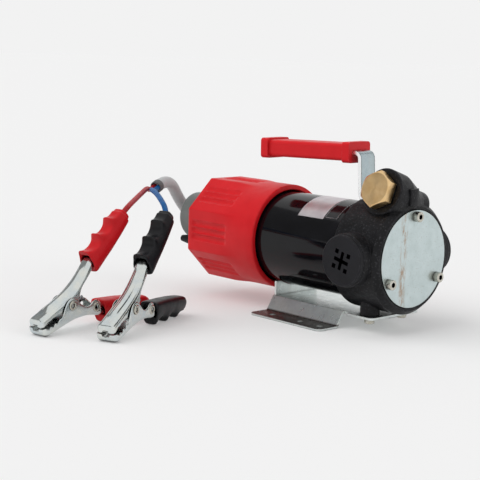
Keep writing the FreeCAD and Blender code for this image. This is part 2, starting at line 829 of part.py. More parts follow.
def coil_shape(label, radius, base, length, turns, wire, start=0, legs=(0, 0)):
    """One unbroken spring wire about the X axis: paired arcs of at most a quarter turn, and straight legs."""
    steps = math.ceil(turns * 4)
    rise = length / steps
    step = 2 * math.pi * turns / steps

    def spot(number):
        angle = math.radians(start) + number * step
        return Vector(base + number * rise, radius * math.cos(angle), radius * math.sin(angle))

    def way(number):
        angle = math.radians(start) + number * step
        climb = rise / step if 0 < number < steps else 0
        return Vector(climb, -radius * math.sin(angle), radius * math.cos(angle)).normalize()

    edges = []
    first = spot(0) - way(0) * legs[0]
    if legs[0]:
        edges.append(Part.LineSegment(first, spot(0)).toShape())
    for number in range(steps):
        for arc in biarc(spot(number), way(number), spot(number + 1), way(number + 1)):
            edges.append(arc.toShape())
    if legs[1]:
        edges.append(Part.LineSegment(spot(steps), spot(steps) + way(steps) * legs[1]).toShape())
    path = Part.Wire(edges)
    section = Part.Wire(Part.Circle(first, way(0), wire).toShape())
    shape = path.makePipeShell([section], True, False)
    due = math.pi * wire ** 2 * path.Length
    print(f"{label}: gap between turns {length / turns - 2 * wire:.2f} mm, "
          f"volume {shape.Volume / due:.4f} of section times length")
    return shape


def tube_shape(label, points, radius):
    """A round tube: straight runs joined by tangent arcs, whose reach is 0.45 of the shorter run."""
    edges = []
    found = []
    last = points[0]
    for number in range(1, len(points) - 1):
        before = points[number - 1] - points[number]
        after = points[number + 1] - points[number]
        reach = 0.45 * min(before.Length, after.Length)
        half = (math.pi - before.getAngle(after)) / 2
        bend = reach / math.tan(half)
        found.append(round(bend, 1))
        before.normalize()
        after.normalize()
        first = points[number] + before * reach
        second = points[number] + after * reach
        inward = (before + after).normalize()
        edges.append(Part.LineSegment(last, first).toShape())
        edges.append(Part.Arc(first, points[number] + inward * (bend / math.cos(half) - bend), second).toShape())
        last = second
    edges.append(Part.LineSegment(last, points[-1]).toShape())
    path = Part.Wire(edges)
    section = Part.Wire(Part.Circle(points[0], points[1] - points[0], radius).toShape())
    shape = path.makePipeShell([section], True, False)
    due = math.pi * radius ** 2 * path.Length
    print(f"{label}: length {path.Length:.1f} mm, bend radii {found}, "
          f"volume {shape.Volume / due:.4f} of section times length")
    return shape


# Rotor and motor

def make_rotor():
    front = -head_floor - d.side_clearance
    rear = -chamber_end + d.side_clearance
    rotor = turned("rotor", ring(front, rear, d.shaft_radius, d.rotor_radius))
    floor = d.rotor_radius - d.vane_sink - d.vane_height - d.vane_clearance
    slot = draw(rotor, "YZ_Plane", [[
        (-d.vane_thick / 2 - d.vane_clearance, floor), (d.vane_thick / 2 + d.vane_clearance, floor),
        (d.vane_thick / 2 + d.vane_clearance, d.rotor_radius + 1),
        (-d.vane_thick / 2 - d.vane_clearance, d.rotor_radius + 1)]], offset=rear - 1)
    cut = pocket(rotor, slot, front - rear + 2, reverse=True)
    around_x(rotor, [cut], d.vane_count)
    key = draw(rotor, "YZ_Plane", [[
        (-d.key_side / 2, -d.shaft_radius - d.key_side / 2), (d.key_side / 2, -d.shaft_radius - d.key_side / 2),
        (d.key_side / 2, 0), (-d.key_side / 2, 0)]], offset=rear - 1)
    pocket(rotor, key, front - rear + 2, reverse=True)
    keep(rotor)
    for number in range(int(d.vane_count.value)):
        turn = 360 * number / d.vane_count.value
        vane = new_body(f"vane_{number + 1}", on_axis, turn_about(X, turn))
        low = floor + d.vane_clearance
        pad(vane, draw(vane, "YZ_Plane", [[
            (-d.vane_thick / 2, low), (d.vane_thick / 2, low),
            (d.vane_thick / 2, low + d.vane_height - 0.6), (0, low + d.vane_height),
            (-d.vane_thick / 2, low + d.vane_height - 0.6)]], offset=rear), front - rear)
        keep(vane)
    return front, rear


def make_shaft(front, rear):
    sleeve = -core_depth + 4
    journal = -(tube_end - d.spigot_length)
    shaft = turned("motor_shaft", [
        (front - 1, 0), (front - 1, d.shaft_radius), (sleeve, d.shaft_radius),
        (sleeve, d.shaft_radius + 1), (-commutator_end, d.shaft_radius + 1), (-commutator_end, d.journal_radius),
        (journal - d.rear_bearing_width + 0.4, d.journal_radius), (journal - d.rear_bearing_width + 0.4, 0)])
    cut = draw(shaft, "YZ_Plane", [[
        (-d.key_side / 2, -d.shaft_radius - 1), (d.key_side / 2, -d.shaft_radius - 1),
        (d.key_side / 2, -d.shaft_radius + d.key_side / 2), (-d.key_side / 2, -d.shaft_radius + d.key_side / 2)]],
        offset=front - 2)
    pocket(shaft, cut, d.key_length, reverse=False)
    keep(shaft)
    key = new_body("drive_key", on_axis)
    pad(key, draw(key, "YZ_Plane", [[
        (-d.key_side / 2, -d.shaft_radius - d.key_side / 2), (d.key_side / 2, -d.shaft_radius - d.key_side / 2),
        (d.key_side / 2, -d.shaft_radius + d.key_side / 2), (-d.key_side / 2, -d.shaft_radius + d.key_side / 2)]],
        offset=front - 2), d.key_length, reverse=True)
    keep(key)


def make_motor():
    bore = d.shaft_radius + d.shaft_clearance
    inner = d.tube_radius - d.tube_wall
    spigot = inner - d.spigot_clearance
    keep(turned("shaft_seal", ring(-d.head_depth, -d.head_depth + d.seal_width, bore, d.seal_radius)))
    bolt_holes = [("circle", side * d.tie_bolt_pitch, 0, d.tie_bolt_radius) for side in (1, -1)]

    flange = turned("front_bell", [
        (-d.head_depth, d.seal_radius - 3), (-d.head_depth, d.tube_radius),
        (-tube_start + d.flange_groove, d.tube_radius), (-tube_start + d.flange_groove, d.tube_radius - 1),
        (-tube_start, d.tube_radius - 1), (-tube_start, spigot),
        (-tube_start - d.spigot_length, spigot), (-tube_start - d.spigot_length, d.front_bearing_radius),
        (-tube_start - d.spigot_length + d.front_bearing_width, d.front_bearing_radius),
        (-tube_start - d.spigot_length + d.front_bearing_width, d.seal_radius - 3)])
    pocket(flange, draw(flange, "YZ_Plane", bolt_holes, offset=-tube_start - d.spigot_length),
           d.spigot_length, reverse=True)
    keep(flange)
    keep(turned("front_bearing", ring(-tube_start - d.spigot_length,
                                      -tube_start - d.spigot_length + d.front_bearing_width,
                                      bore, d.front_bearing_radius)))
    keep(turned("motor_tube", ring(-tube_start, -tube_end, inner, d.tube_radius)))
    magnets = []
    magnet_start = core_depth - d.magnet_lead
    for middle in (0, 180):
        magnets.append(turned("magnet", ring(-magnet_start, -magnet_start - d.magnet_length,
                                             d.magnet_inner, inner),
                              turn=turn_about(X, middle - d.magnet_spread.value / 2), angle=d.magnet_spread))
    keep(join("magnets", magnets))
    keep(turned("armature_core", ring(-core_depth, -core_end, d.shaft_radius + 1, d.core_radius)))
    windings = []
    for near, way in ((core_depth, 1), (core_end, -1)):
        windings.append(turned("winding", [
            (-near, d.shaft_radius + 1), (-near, d.winding_radius),
            (-near + way * (d.winding_length - 4), d.winding_radius),
            (-near + way * d.winding_length, d.winding_radius - 5),
            (-near + way * d.winding_length, d.shaft_radius + 1)]))
    keep(join("windings", windings))
    keep(turned("commutator", ring(-commutator_depth, -commutator_end,
                                   d.shaft_radius + 1, d.commutator_radius)))
    make_brushes(inner, bolt_holes)

    bell = turned("rear_bell", [
        (-tube_end + d.spigot_length, d.rear_bearing_radius), (-tube_end + d.spigot_length, spigot),
        (-tube_end, spigot), (-tube_end, d.tube_radius), (-bell_end + 1, d.tube_radius),
        (-bell_end, d.tube_radius - 1), (-bell_end, 0), (-tube_end + d.spigot_length - d.rear_bearing_width, 0),
        (-tube_end + d.spigot_length - d.rear_bearing_width, d.rear_bearing_radius)])
    pocket(bell, draw(bell, "YZ_Plane", bolt_holes, offset=-bell_end), d.bell_length + d.spigot_length,
           reverse=True)
    cap_holes = [("circle", side * d.cap_screw_side, -d.cap_screw_drop, d.cap_screw_radius) for side in (1, -1)]
    pocket(bell, draw(bell, "YZ_Plane", cap_holes, offset=-bell_end),
           d.cap_screw_length - cap_rear + bell_end, reverse=True)
    keep(bell)
    keep(turned("rear_bearing", ring(-tube_end + d.spigot_length,
                                     -tube_end + d.spigot_length - d.rear_bearing_width,
                                     d.journal_radius + d.shaft_clearance, d.rear_bearing_radius)))
    bolts = []
    for side in (1, -1):
        bolts.append(turned("tie_bolt", [
            (-bell_end - d.tie_bolt_head_height, 0), (-bell_end - d.tie_bolt_head_height, d.tie_bolt_head),
            (-bell_end, d.tie_bolt_head), (-bell_end, d.tie_bolt_radius), (-tube_start, d.tie_bolt_radius),
            (-tube_start, 0)], at=(front_x, side * d.tie_bolt_pitch, d.axis_height)))
    keep(join("tie_bolts", bolts))


def make_brushes(inner, bolt_holes):
    middle = commutator_depth + d.commutator_length / 2
    low = d.commutator_radius + 0.1
    spring_top = inner - 3
    side = d.brush_side / 2 + d.brush_clearance
    wall = side + d.holder_wall
    rear = commutator_end + d.holder_gap
    parts = [turned("holder_ring", ring(-rear, -rear - d.holder_thick, d.holder_inner, inner))]
    tools = []
    for way in (1, -1):
        turn = TO_Z if way > 0 else TO_MINUS_Z
        for items, half, first, last, back in ((parts, wall, low + 2, spring_top + 1.5, rear - middle + 1),
                                               (tools, side, low, spring_top, side)):
            body = new_body("guide", at=(depth(middle), 0, d.axis_height), turn=turn)
            low_side, high_side = (-half, back) if way > 0 else (-back, half)
            drawing = draw(body, "YZ_Plane", [[
                (-half, low_side), (half, low_side), (half, high_side), (-half, high_side)]], offset=first)
            pad(body, drawing, last - first)
            items.append(body)
    holder = carve("holder_without_bolt_holes", join("holder_block", parts), tools)
    holes = new_body("holder_bolt_holes", on_axis)
    pad(holes, draw(holes, "YZ_Plane", bolt_holes, offset=-rear - d.holder_thick - 1), d.holder_thick + 2)
    keep(carve("brush_holder", holder, [holes]))
    brushes, springs = [], []
    for way in (1, -1):
        turn = TO_Z if way > 0 else TO_MINUS_Z
        half = d.brush_side / 2
        body = new_body("brush", at=(depth(middle), 0, d.axis_height), turn=turn)
        pad(body, draw(body, "YZ_Plane", [[(-half, -half), (half, -half), (half, half), (-half, half)]],
                       offset=low), d.brush_length)
        brushes.append(body)
        wire = d.brush_wire.value
        start = low.value + d.brush_length.value + wire
        coil = coil_shape("brush spring", d.brush_coil_radius.value, start, spring_top.value - start - wire,
                          d.brush_coil_turns.value, wire)
        springs.append(made("spring", coil, (depth(middle), 0, d.axis_height), turn))
    keep(join("brushes", brushes))
    keep(join("brush_springs", springs))


# Red cap

def make_cap():
    rear = -cap_rear
    facets = cap_rear - d.cap_facet_length
    body = new_body("rear_cap", on_axis)
    half_side = 180 / 8
    octagon = regular(8, 2 * d.cap_corner_radius * cos(half_side), half_side)
    pad(body, draw(body, "YZ_Plane", [octagon], offset=rear), d.cap_facet_length + d.cap_facet_fade)
    spin(body, draw(body, "XZ_Plane", [[
        (-facets + 1, 0), (-d.cap_front_depth, 0), (-d.cap_front_depth, d.cap_radius - 1),
        (-d.cap_front_depth - 1, d.cap_radius), (-facets + 1, d.cap_radius),
        (-facets - 2, d.cap_radius - 1.4), (-facets - 2, 0)]]))
    spin(body, draw(body, "XZ_Plane", [[
        (-facets - 1, d.cap_corner_radius + 0.5), (-facets + d.cap_facet_fade, d.cap_radius),
        (-facets + d.cap_facet_fade + 1, d.cap_radius),
        (-facets + d.cap_facet_fade + 1, d.cap_corner_radius + 3), (-facets - 1, d.cap_corner_radius + 3)]]),
        groove=True)
    spin(body, draw(body, "XZ_Plane", [[
        (rear - 1, d.cap_corner_radius - d.cap_lip - 1), (rear + d.cap_lip + 1, d.cap_corner_radius + 1),
        (rear - 1, d.cap_corner_radius + 1)]]), groove=True)
    flat = d.cap_corner_radius * cos(half_side)
    loops = []
    count = int(d.flute_count.value)
    half = d.flute_width / 2
    for number in range(count):
        middle = (number - (count - 1) / 2) * d.flute_pitch
        loops.append([(rear - 1, middle - half), (rear + d.flute_length, middle - half),
                      (rear + d.flute_length, middle + half, None, 1), (rear - 1, middle + half)])
    flutes = pocket(body, draw(body, "XZ_Plane", loops, offset=flat), d.flute_depth)
    around_x(body, [flutes], 8)
    seat = d.tube_radius + d.cap_seat_clearance
    spin(body, draw(body, "XZ_Plane", [[
        (rear + d.cap_wall, 0), (-d.cap_front_depth + 1, 0), (-d.cap_front_depth + 1, d.cap_mouth_radius),
        (rear + d.cap_wall + d.cap_seat_length, d.cap_mouth_radius),
        (rear + d.cap_wall + d.cap_seat_length, seat), (rear + d.cap_wall, seat)]]), groove=True)
    posts = [("circle", side * d.cap_screw_side, -d.cap_screw_drop, d.cap_post_radius) for side in (1, -1)]
    pad(body, draw(body, "YZ_Plane", posts, offset=rear + d.cap_wall - 0.5),
        cap_rear - d.cap_wall + 0.5 - bell_end)
    holes = [("circle", side * d.cap_screw_side, -d.cap_screw_drop, d.cap_screw_radius) for side in (1, -1)]
    pocket(body, draw(body, "YZ_Plane", holes, offset=rear - 1), cap_rear - bell_end + 2, reverse=True)
    openings = [("circle", -d.switch_side, -d.switch_drop, d.bush_radius + d.bush_clearance),
                ("circle", -d.cover_side, d.cover_rise, d.lead_hole_radius)]
    pocket(body, draw(body, "YZ_Plane", openings, offset=rear - 1), d.cap_wall + 2, reverse=True)
    keep(body)


def make_rear_fittings():
    cover_at = (depth(cap_rear), -d.cover_side, d.axis_height + d.cover_rise)
    wall, length, outer = d.cover_wall, d.cover_length, d.cover_radius
    cover = turned("terminal_cover", [
        (0, outer - wall), (0, outer), (-length + d.cover_round, outer),
        (-length, outer - d.cover_round, d.cover_round, 1), (-length, 0), (-length + wall, 0),
        (-length + wall, outer - wall)], at=cover_at)
    gland_y, gland_z = d.cover_side - d.gland_side, d.gland_rise - d.cover_rise
    pocket(cover, draw(cover, "YZ_Plane", [("circle", gland_y, gland_z, d.sheath_radius)],
                       offset=-length), wall, reverse=True)
    keep(cover)
    gland = turned("cable_gland", ring(0, -d.gland_length, d.sheath_radius, d.gland_radius),
                   at=(depth(rear_depth), -d.gland_side, d.axis_height + d.gland_rise))
    nut = draw(gland, "YZ_Plane", [regular(6, d.gland_flats, 0), ("circle", 0, 0, d.sheath_radius)])
    pad(gland, nut, d.gland_length * 0.6, reverse=True)
    keep(gland)

    switch_at = (depth(cap_rear), -d.switch_side, d.axis_height - d.switch_drop)
    socket = d.lever_ball_radius + d.lever_ball_clearance
    keep(turned("switch_body", [
        (socket + 0.5, 0), (d.cap_wall + d.switch_body_length, 0),
        (d.cap_wall + d.switch_body_length, d.switch_body_radius), (d.cap_wall, d.switch_body_radius),
        (d.cap_wall, d.bush_radius), (-d.bezel_thick, d.bush_radius), (-d.bezel_thick, socket),
        (socket + 0.5, socket)], at=switch_at))
    keep(turned("switch_bezel", ring(-d.bezel_thick, 0, d.bush_radius, d.bezel_radius), at=switch_at))
    ball, neck, base, tip = d.lever_ball_radius, d.lever_neck_radius, d.lever_base_radius, d.lever_tip_radius
    meet = Size(math.sqrt(ball.value ** 2 - neck.value ** 2), f"sqrt({ball.text}^2 - {neck.text}^2)")
    end = d.lever_start + d.lever_length
    keep(turned("switch_lever", [
        (ball, 0), (-meet, neck, ball, 1), (-d.lever_start, neck), (-d.lever_start, base),
        (-end + 1, tip), (-end, tip - 1), (-end, 0)], at=switch_at))
    screws = []
    for side in (1, -1):
        screws.append(turned("cap_screw", [
            (d.cap_screw_length, 0), (d.cap_screw_length, d.cap_screw_radius), (0, d.cap_screw_radius),
            (0, d.cap_screw_head), (-d.cap_screw_head_height + 0.6, d.cap_screw_head),
            (-d.cap_screw_head_height, d.cap_screw_head - 0.8), (-d.cap_screw_head_height, 0)],
            at=(depth(cap_rear), side * d.cap_screw_side, d.axis_height - d.cap_screw_drop)))
    keep(join("cap_screws", screws))


# Carry handle

def make_handle():
    base = d.axis_height + d.saddle_height
    at = (depth(d.strap_hole_depth), 0, base)
    yaw = turn_about(Z, d.handle_yaw.value)
    half = d.strap_thick / 2
    back = d.strap_depth - d.strap_hole_depth - half
    corner1 = (-back, half)
    up = (-sin(d.strap_lean), cos(d.strap_lean))
    rise = d.strap_rise
    corner2 = (corner1[0] + rise * up[0], corner1[1] + rise * up[1])
    out = (-cos(d.strap_droop), -sin(d.strap_droop))
    reach1 = d.strap_bend * tan((90 - d.strap_lean) / 2)
    reach2 = d.strap_bend * tan((90 - d.strap_lean + d.strap_droop) / 2)
    start_x = d.strap_foot_length - back - half

    body = new_body("handle_strap", at, yaw)
    path = new_sketch(body, "XZ_Plane")
    add_outline(path, [
        (start_x, half), (corner1[0] + reach1, half),
        (corner1[0] + reach1 * up[0], corner1[1] + reach1 * up[1], d.strap_bend, -1),
        (corner2[0] - reach2 * up[0], corner2[1] - reach2 * up[1]),
        (corner2[0] + reach2 * out[0], corner2[1] + reach2 * out[1], d.strap_bend, 1),
        (corner2[0] + d.strap_reach * out[0], corner2[1] + d.strap_reach * out[1])], closed=False)
    profile = draw(body, "YZ_Plane", [[
        (-d.strap_width / 2, 0), (d.strap_width / 2, 0), (d.strap_width / 2, d.strap_thick),
        (-d.strap_width / 2, d.strap_thick)]], offset=start_x)
    pipe = body.newObject("PartDesign::AdditivePipe", "Pipe")
    pipe.Profile = profile
    pipe.Spine = path
    doc.recompute()
    pocket(body, draw(body, "XY_Plane", [("circle", 0, 0, d.strap_hole_radius)]), d.strap_thick, reverse=True)
    keep(body)

    head = d.strap_screw_head_height
    keep(turned("strap_screw", [
        (-d.strap_screw_length, 0), (-d.strap_screw_length, d.strap_hole_radius), (0, d.strap_hole_radius),
        (0, d.strap_screw_head), (head - 0.8, d.strap_screw_head), (head, d.strap_screw_head - 1.2), (head, 0)],
        at=(at[0], 0, base + d.strap_thick), turn=TO_Z))

    tilt = yaw * turn_about(Y, -d.strap_droop.value)
    grip_at = (at[0] + (corner2[0] * cos(d.handle_yaw)), corner2[0] * sin(d.handle_yaw), base + corner2[1])
    grip = new_body("handle_grip", grip_at, tilt)
    front, rear = -d.grip_start, -d.grip_start - d.grip_length
    block(grip, rear, front, d.grip_width, d.grip_height, d.grip_round)
    block(grip, front - d.grip_flange_length, front, d.grip_flange_width, d.grip_flange_height, d.grip_round)
    block(grip, rear, rear + d.grip_flange_length, d.grip_flange_width, d.grip_flange_height, d.grip_round)
    pocket(grip, draw(grip, "YZ_Plane", [[
        (-d.strap_width / 2, -half), (d.strap_width / 2, -half), (d.strap_width / 2, half),
        (-d.strap_width / 2, half)]], offset=-d.strap_reach), d.strap_reach, reverse=True)
    keep(grip)


def block(body, start, end, width, height, r):
    """A bar along X with rounded long edges, from its rear end to its front end."""
    y, z = width / 2, height / 2
    drawing = draw(body, "YZ_Plane", [[
        (-y + r, -z, r, 1), (y - r, -z), (y, -z + r, r, 1), (y, z - r), (y - r, z, r, 1), (-y + r, z),
        (-y, z - r, r, 1), (-y, -z + r)]], offset=start)
    pad(body, drawing, end - start)


# Bracket

def make_bracket():
    rear = d.foot_front_depth + d.foot_length
    body = new_body("bracket", (front_x, 0, 0))
    top, under = d.deck_height, d.deck_height - d.sheet
    slope = (d.foot_inner - d.crease_side) / (d.deck_height - d.sheet)
    step = d.sheet * slope
    inner_low = d.foot_inner - step * 0.5
    profile = [
        (-d.foot_outer, 0), (-inner_low, 0), (-d.crease_side + step * 0.5, under),
        (d.crease_side - step * 0.5, under), (inner_low, 0), (d.foot_outer, 0), (d.foot_outer, d.sheet),
        (d.foot_inner + step * 0.5, d.sheet), (d.crease_side + step * 0.5, top),
        (-d.crease_side - step * 0.5, top), (-d.foot_inner - step * 0.5, d.sheet), (-d.foot_outer, d.sheet)]
    pad(body, draw(body, "YZ_Plane", [profile], offset=-rear), d.foot_length)
    front, cut = d.deck_front_depth, d.deck_corner
    side = d.deck_half_width
    inner = d.crease_side - d.notch_inset
    deck = [(-d.foot_front_depth - 4, -inner), (-d.foot_front_depth + d.notch_length, -inner),
            (-d.foot_front_depth + d.notch_length, -side), (-front - cut, -side), (-front, -side + cut, cut, 1),
            (-front, side - cut), (-front - cut, side, cut, 1), (-d.foot_front_depth + d.notch_length, side),
            (-d.foot_front_depth + d.notch_length, inner), (-d.foot_front_depth - 4, inner)]
    pad(body, draw(body, "XY_Plane", [deck], offset=under), d.sheet)
    make_cradle(body, rear, under)
    holes = []
    for way in (1, -1):
        holes.append(("circle", -d.foot_boss_depth, way * d.foot_boss_spread, d.deck_bolt_radius))
        for hole in (d.foot_hole_front, d.foot_hole_middle, d.foot_hole_rear):
            holes.append(("circle", -hole, way * d.foot_hole_side, d.foot_hole_radius))
    pocket(body, draw(body, "XY_Plane", holes), d.deck_height + 1, reverse=True)
    round_feet(body)
    keep(body)
    bolts = []
    for way in (1, -1):
        bolts.append(turned("deck_bolt", [
            (-d.deck_bolt_head_height, 0), (-d.deck_bolt_head_height, d.deck_bolt_head - 0.5),
            (-d.deck_bolt_head_height + 0.5, d.deck_bolt_head), (0, d.deck_bolt_head), (0, d.deck_bolt_radius),
            (d.deck_bolt_length, d.deck_bolt_radius), (d.deck_bolt_length, 0)],
            at=(depth(d.foot_boss_depth), way * d.foot_boss_spread, under), turn=TO_Z))
    keep(join("deck_bolts", bolts))


def make_cradle(body, rear, under):
    half = d.cradle_half_width
    reach = d.tube_radius + d.cradle_clearance
    tip = d.deck_height + d.cradle_height
    inset = Size(math.sqrt(reach.value ** 2 - (d.axis_height.value - tip.value) ** 2),
                 f"sqrt({reach.text}^2 - ({d.axis_height.text} - {tip.text})^2)")
    saddle = [(-half, under), (half, under), (half, tip), (inset, tip),
              (-inset, tip, reach, -1), (-half, tip)]
    pad(body, draw(body, "YZ_Plane", [saddle], offset=-rear), d.sheet)


def round_feet(body):
    base = body.Tip
    names = []
    for number, edge in enumerate(base.Shape.Edges, start=1):
        box = edge.BoundBox
        upright = abs(box.ZLength - d.sheet.value) < 0.01 and box.XLength < 0.01 and box.YLength < 0.01
        if upright and abs(abs(box.YMin) - d.foot_outer.value) < 0.01:
            names.append(f"Edge{number}")
    fillet = body.newObject("PartDesign::Fillet", "Round")
    fillet.Base = (base, names)
    bind(fillet, "Radius", d.foot_corner)
    doc.recompute()


# Clamps

def inset(points, wall):
    """Moves an open line of corners to its right by the wall."""
    lines = []
    for begin, finish in zip(points, points[1:]):
        way = Vector(finish[0] - begin[0], finish[1] - begin[1], 0).normalize()
        lines.append((Vector(begin[0], begin[1], 0) + Vector(way.y, -way.x, 0) * wall, way))
    moved = [lines[0][0]]
    for (spot, way), (next_spot, next_way) in zip(lines, lines[1:]):
        gap = next_spot - spot
        moved.append(spot + way * (gap.cross(next_way).z / way.cross(next_way).z))
    spot, way = lines[-1]
    moved.append(spot + way * 40)
    return [(spot.x, spot.y) for spot in moved]


def along(mirror, distance, across):
    """A point beside a handle: its distance from the rivet and its offset away from the other handle."""
    angle = d.upper_handle_angle if mirror > 0 else -d.lower_handle_angle
    return (distance * cos(angle) - mirror * across * sin(angle),
            distance * sin(angle) + mirror * across * cos(angle))


def strip(mirror, start, end, low, high):
    corners = [(start, low), (end, low), (end, high), (start, high)]
    return [along(mirror, *corner) for corner in corners]


def make_jaw(label, web, edge, mirror, width, offset, at, turn, ear=None):
    """A pressed steel channel: the jaw, and the narrower bar that its grip is pushed on."""
    wall = d.jaw_wall
    body = new_body(label, at, turn)
    pad(body, draw(body, "XZ_Plane", [web + edge]), width, symmetric=True)
    line = inset(web if mirror > 0 else [(x, -y) for x, y in web], wall.value)
    hollow = [(x, mirror * y) for x, y in line]
    hollow[0] = (hollow[0][0], -30 * mirror)
    pocket(body, draw(body, "XZ_Plane", [hollow + [(60, -30 * mirror)]]), width - 2 * wall, symmetric=True)
    low, high = offset - d.bar_inner, offset + d.bar_outer
    end = d.clamp_grip_start + d.clamp_grip_length - d.bar_end_gap
    pad(body, draw(body, "XZ_Plane", [strip(mirror, d.bar_start, end, low, high)]), d.bar_width, symmetric=True)
    trough = strip(mirror, d.bar_start, end + 1, low - 10, high - wall)
    pocket(body, draw(body, "XZ_Plane", [trough]), d.bar_width - 2 * wall, symmetric=True)
    holes = [("circle", 0, 0, d.rivet_radius + d.rivet_clearance)]
    if ear:
        holes.append(("circle", ear[0], ear[1], d.ear_hole_radius))
    pocket(body, draw(body, "XZ_Plane", holes), width + 2, symmetric=True)
    keep(body)


def make_grip(label, mirror, offset, at, turn):
    """A dipped sleeve over a handle: a rounded bar with finger dips cut along its outer side."""
    begin, length = d.clamp_grip_start, d.clamp_grip_length
    low, high = offset - d.grip_depth / 2, offset + d.grip_depth / 2
    dip = length / 3
    dip_radius = dip * dip / 8 / d.finger_depth + d.finger_depth / 2
    corners = [(begin, low), (begin + length, low), (begin + length, high)]
    outline = [along(mirror, *corner) for corner in corners]
    for number in (2, 1, 0):
        spot = along(mirror, begin + dip * number, high)
        outline.append((spot[0], spot[1], dip_radius, -mirror))
    body = new_body(f"{label}_side", at, turn)
    pad(body, draw(body, "XZ_Plane", [outline]), d.grip_side, symmetric=True)
    bar_end = begin + length - d.bar_end_gap
    sleeve = strip(mirror, begin - 1, bar_end, offset - d.bar_inner, offset + d.bar_outer)
    pocket(body, draw(body, "XZ_Plane", [sleeve]), d.bar_width, symmetric=True)
    middle = along(mirror, 0, offset)
    shift = turn.multVec(Vector(middle[0].value, 0, middle[1].value))
    slope = (d.upper_handle_angle if mirror > 0 else -d.lower_handle_angle).value
    around = new_body(f"{label}_around", (at[0] + shift.x, at[1] + shift.y, at[2] + shift.z),
                      turn * turn_about(Y, -slope))
    block(around, begin, begin + length, d.grip_side, d.grip_depth, d.sleeve_round)
    item = doc.addObject("Part::MultiCommon", "Common")
    item.Shapes = [body, around]
    item.Label = label
    doc.recompute()
    keep(item)


def clamp_stance():
    """The tilt and the rivet height at which the nose and the end of the lower grip rest on the floor."""
    nose = LOWER_WEB[2]
    corner = along(-1, d.clamp_grip_start + d.clamp_grip_length, d.lower_grip_offset + d.grip_depth / 2)
    heel = (corner[0].value, corner[1].value)
    tilt = math.atan2(nose[1] - heel[1], heel[0] - nose[0])
    height = -nose[0] * math.sin(tilt) - nose[1] * math.cos(tilt)
    return math.degrees(tilt), height


def clamp_frame(prefix):
    rivet_depth, rivet_y, compass = CLAMPS[prefix]
    tilt, height = clamp_stance()
    turn = turn_about(Z, compass) * turn_about(Y, -tilt)
    return (depth(rivet_depth), rivet_y, height), turn


def make_clamp(prefix):
    at, turn = clamp_frame(prefix)
    make_jaw(f"{prefix}_upper_jaw", UPPER_WEB, UPPER_EDGE, 1, d.upper_jaw_width, d.upper_grip_offset, at, turn)
    make_jaw(f"{prefix}_lower_jaw", LOWER_WEB, LOWER_EDGE, -1, d.lower_jaw_width, d.lower_grip_offset, at, turn,
             ear=EAR_HOLE)
    make_grip(f"{prefix}_upper_grip", 1, d.upper_grip_offset, at, turn)
    make_grip(f"{prefix}_lower_grip", -1, d.lower_grip_offset, at, turn)
    half = d.lower_jaw_width / 2
    cap = half + d.rivet_head_height
    keep(turned(f"{prefix}_rivet", [
        (-cap, 0), (-cap, d.rivet_head - 0.6), (-half - 0.3, d.rivet_head), (-half, d.rivet_head),
        (-half, d.rivet_radius), (half, d.rivet_radius), (half, d.rivet_head), (half + 0.3, d.rivet_head),
        (cap, d.rivet_head - 0.6), (cap, 0)], at=at, turn=turn * TO_Y))
    wire = d.clamp_wire.value
    upper, lower = d.upper_leg_angle.value, d.lower_leg_angle.value
    turns = d.clamp_coil_turns.value + (270 - (90 - upper) + lower) / 360
    length = turns * (2 * wire + d.clamp_coil_gap.value)
    coil = coil_shape(f"{prefix}_spring", d.clamp_coil_radius.value, -length / 2, length, turns, wire,
                      start=90 - lower, legs=(d.lower_leg_length.value, d.upper_leg_length.value))
    keep(made(f"{prefix}_spring", coil, at, turn * TO_MINUS_Y))


# Battery lead

def make_lead():
    start = Vector(depth(rear_depth + d.gland_length).value, -d.gland_side.value,
                   (d.axis_height + d.gland_rise).value)
    route = [start] + [Vector(front_x.value - x, y, z) for x, y, z in SHEATH_ROUTE]
    keep(made("cable_sheath", tube_shape("cable_sheath", route, d.sheath_radius.value)))
    way = (route[-1] - route[-2]).normalize()
    side = Z.cross(way).normalize() * d.wire_offset.value
    for prefix, label, corners, hand in (("red", "red_wire", RED_ROUTE, -1), ("black", "blue_wire", BLUE_ROUTE, 1)):
        (x, y, z), turn = clamp_frame(prefix)
        across = d.upper_grip_offset - d.wire_side
        spots = []
        for reach in (0, d.wire_tail):
            spot = along(1, d.clamp_grip_start + d.clamp_grip_length + reach, across)
            spots.append(Vector(x.value, y, z) + turn.multVec(Vector(spot[0].value, 0, spot[1].value)))
        begin = route[-1] + side * hand
        points = [begin, begin + way * 10] + [Vector(front_x.value - x, y, z) for x, y, z in corners]
        points += [spots[1], spots[0]]
        keep(made(label, tube_shape(label, points, d.wire_radius.value)))


make_housing()
make_cover_disc()
make_port_plug("near_port_plug", -1)
make_port_plug("far_port_plug", 1)
make_valve()
front, rear = make_rotor()
make_shaft(front, rear)
make_motor()
make_cap()
make_rear_fittings()
make_handle()
make_bracket()
make_clamp("black")
make_clamp("red")
make_lead()

doc.recompute()
for item in doc.Objects:
    if "Invalid" in item.State or "Error" in item.State:
        raise RuntimeError(f"{item.Label} of {[owner.Label for owner in item.InList]}: {item.State}")
for item in NODES:
    if item.Shape.isNull() or not item.Shape.isValid():
        raise RuntimeError(f"{item.Label}: its shape is not valid")
os.makedirs("parts", exist_ok=True)
for item in NODES:
    item.Shape.exportStep(f"parts/{item.Label}.step")
print(f"{len(NODES)} nodes: " + " ".join(item.Label for item in NODES))
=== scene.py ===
from math import atan2, cos, pi, radians, sin, sqrt, tan, tau

import bmesh
import bpy
from mathutils import Matrix, Vector


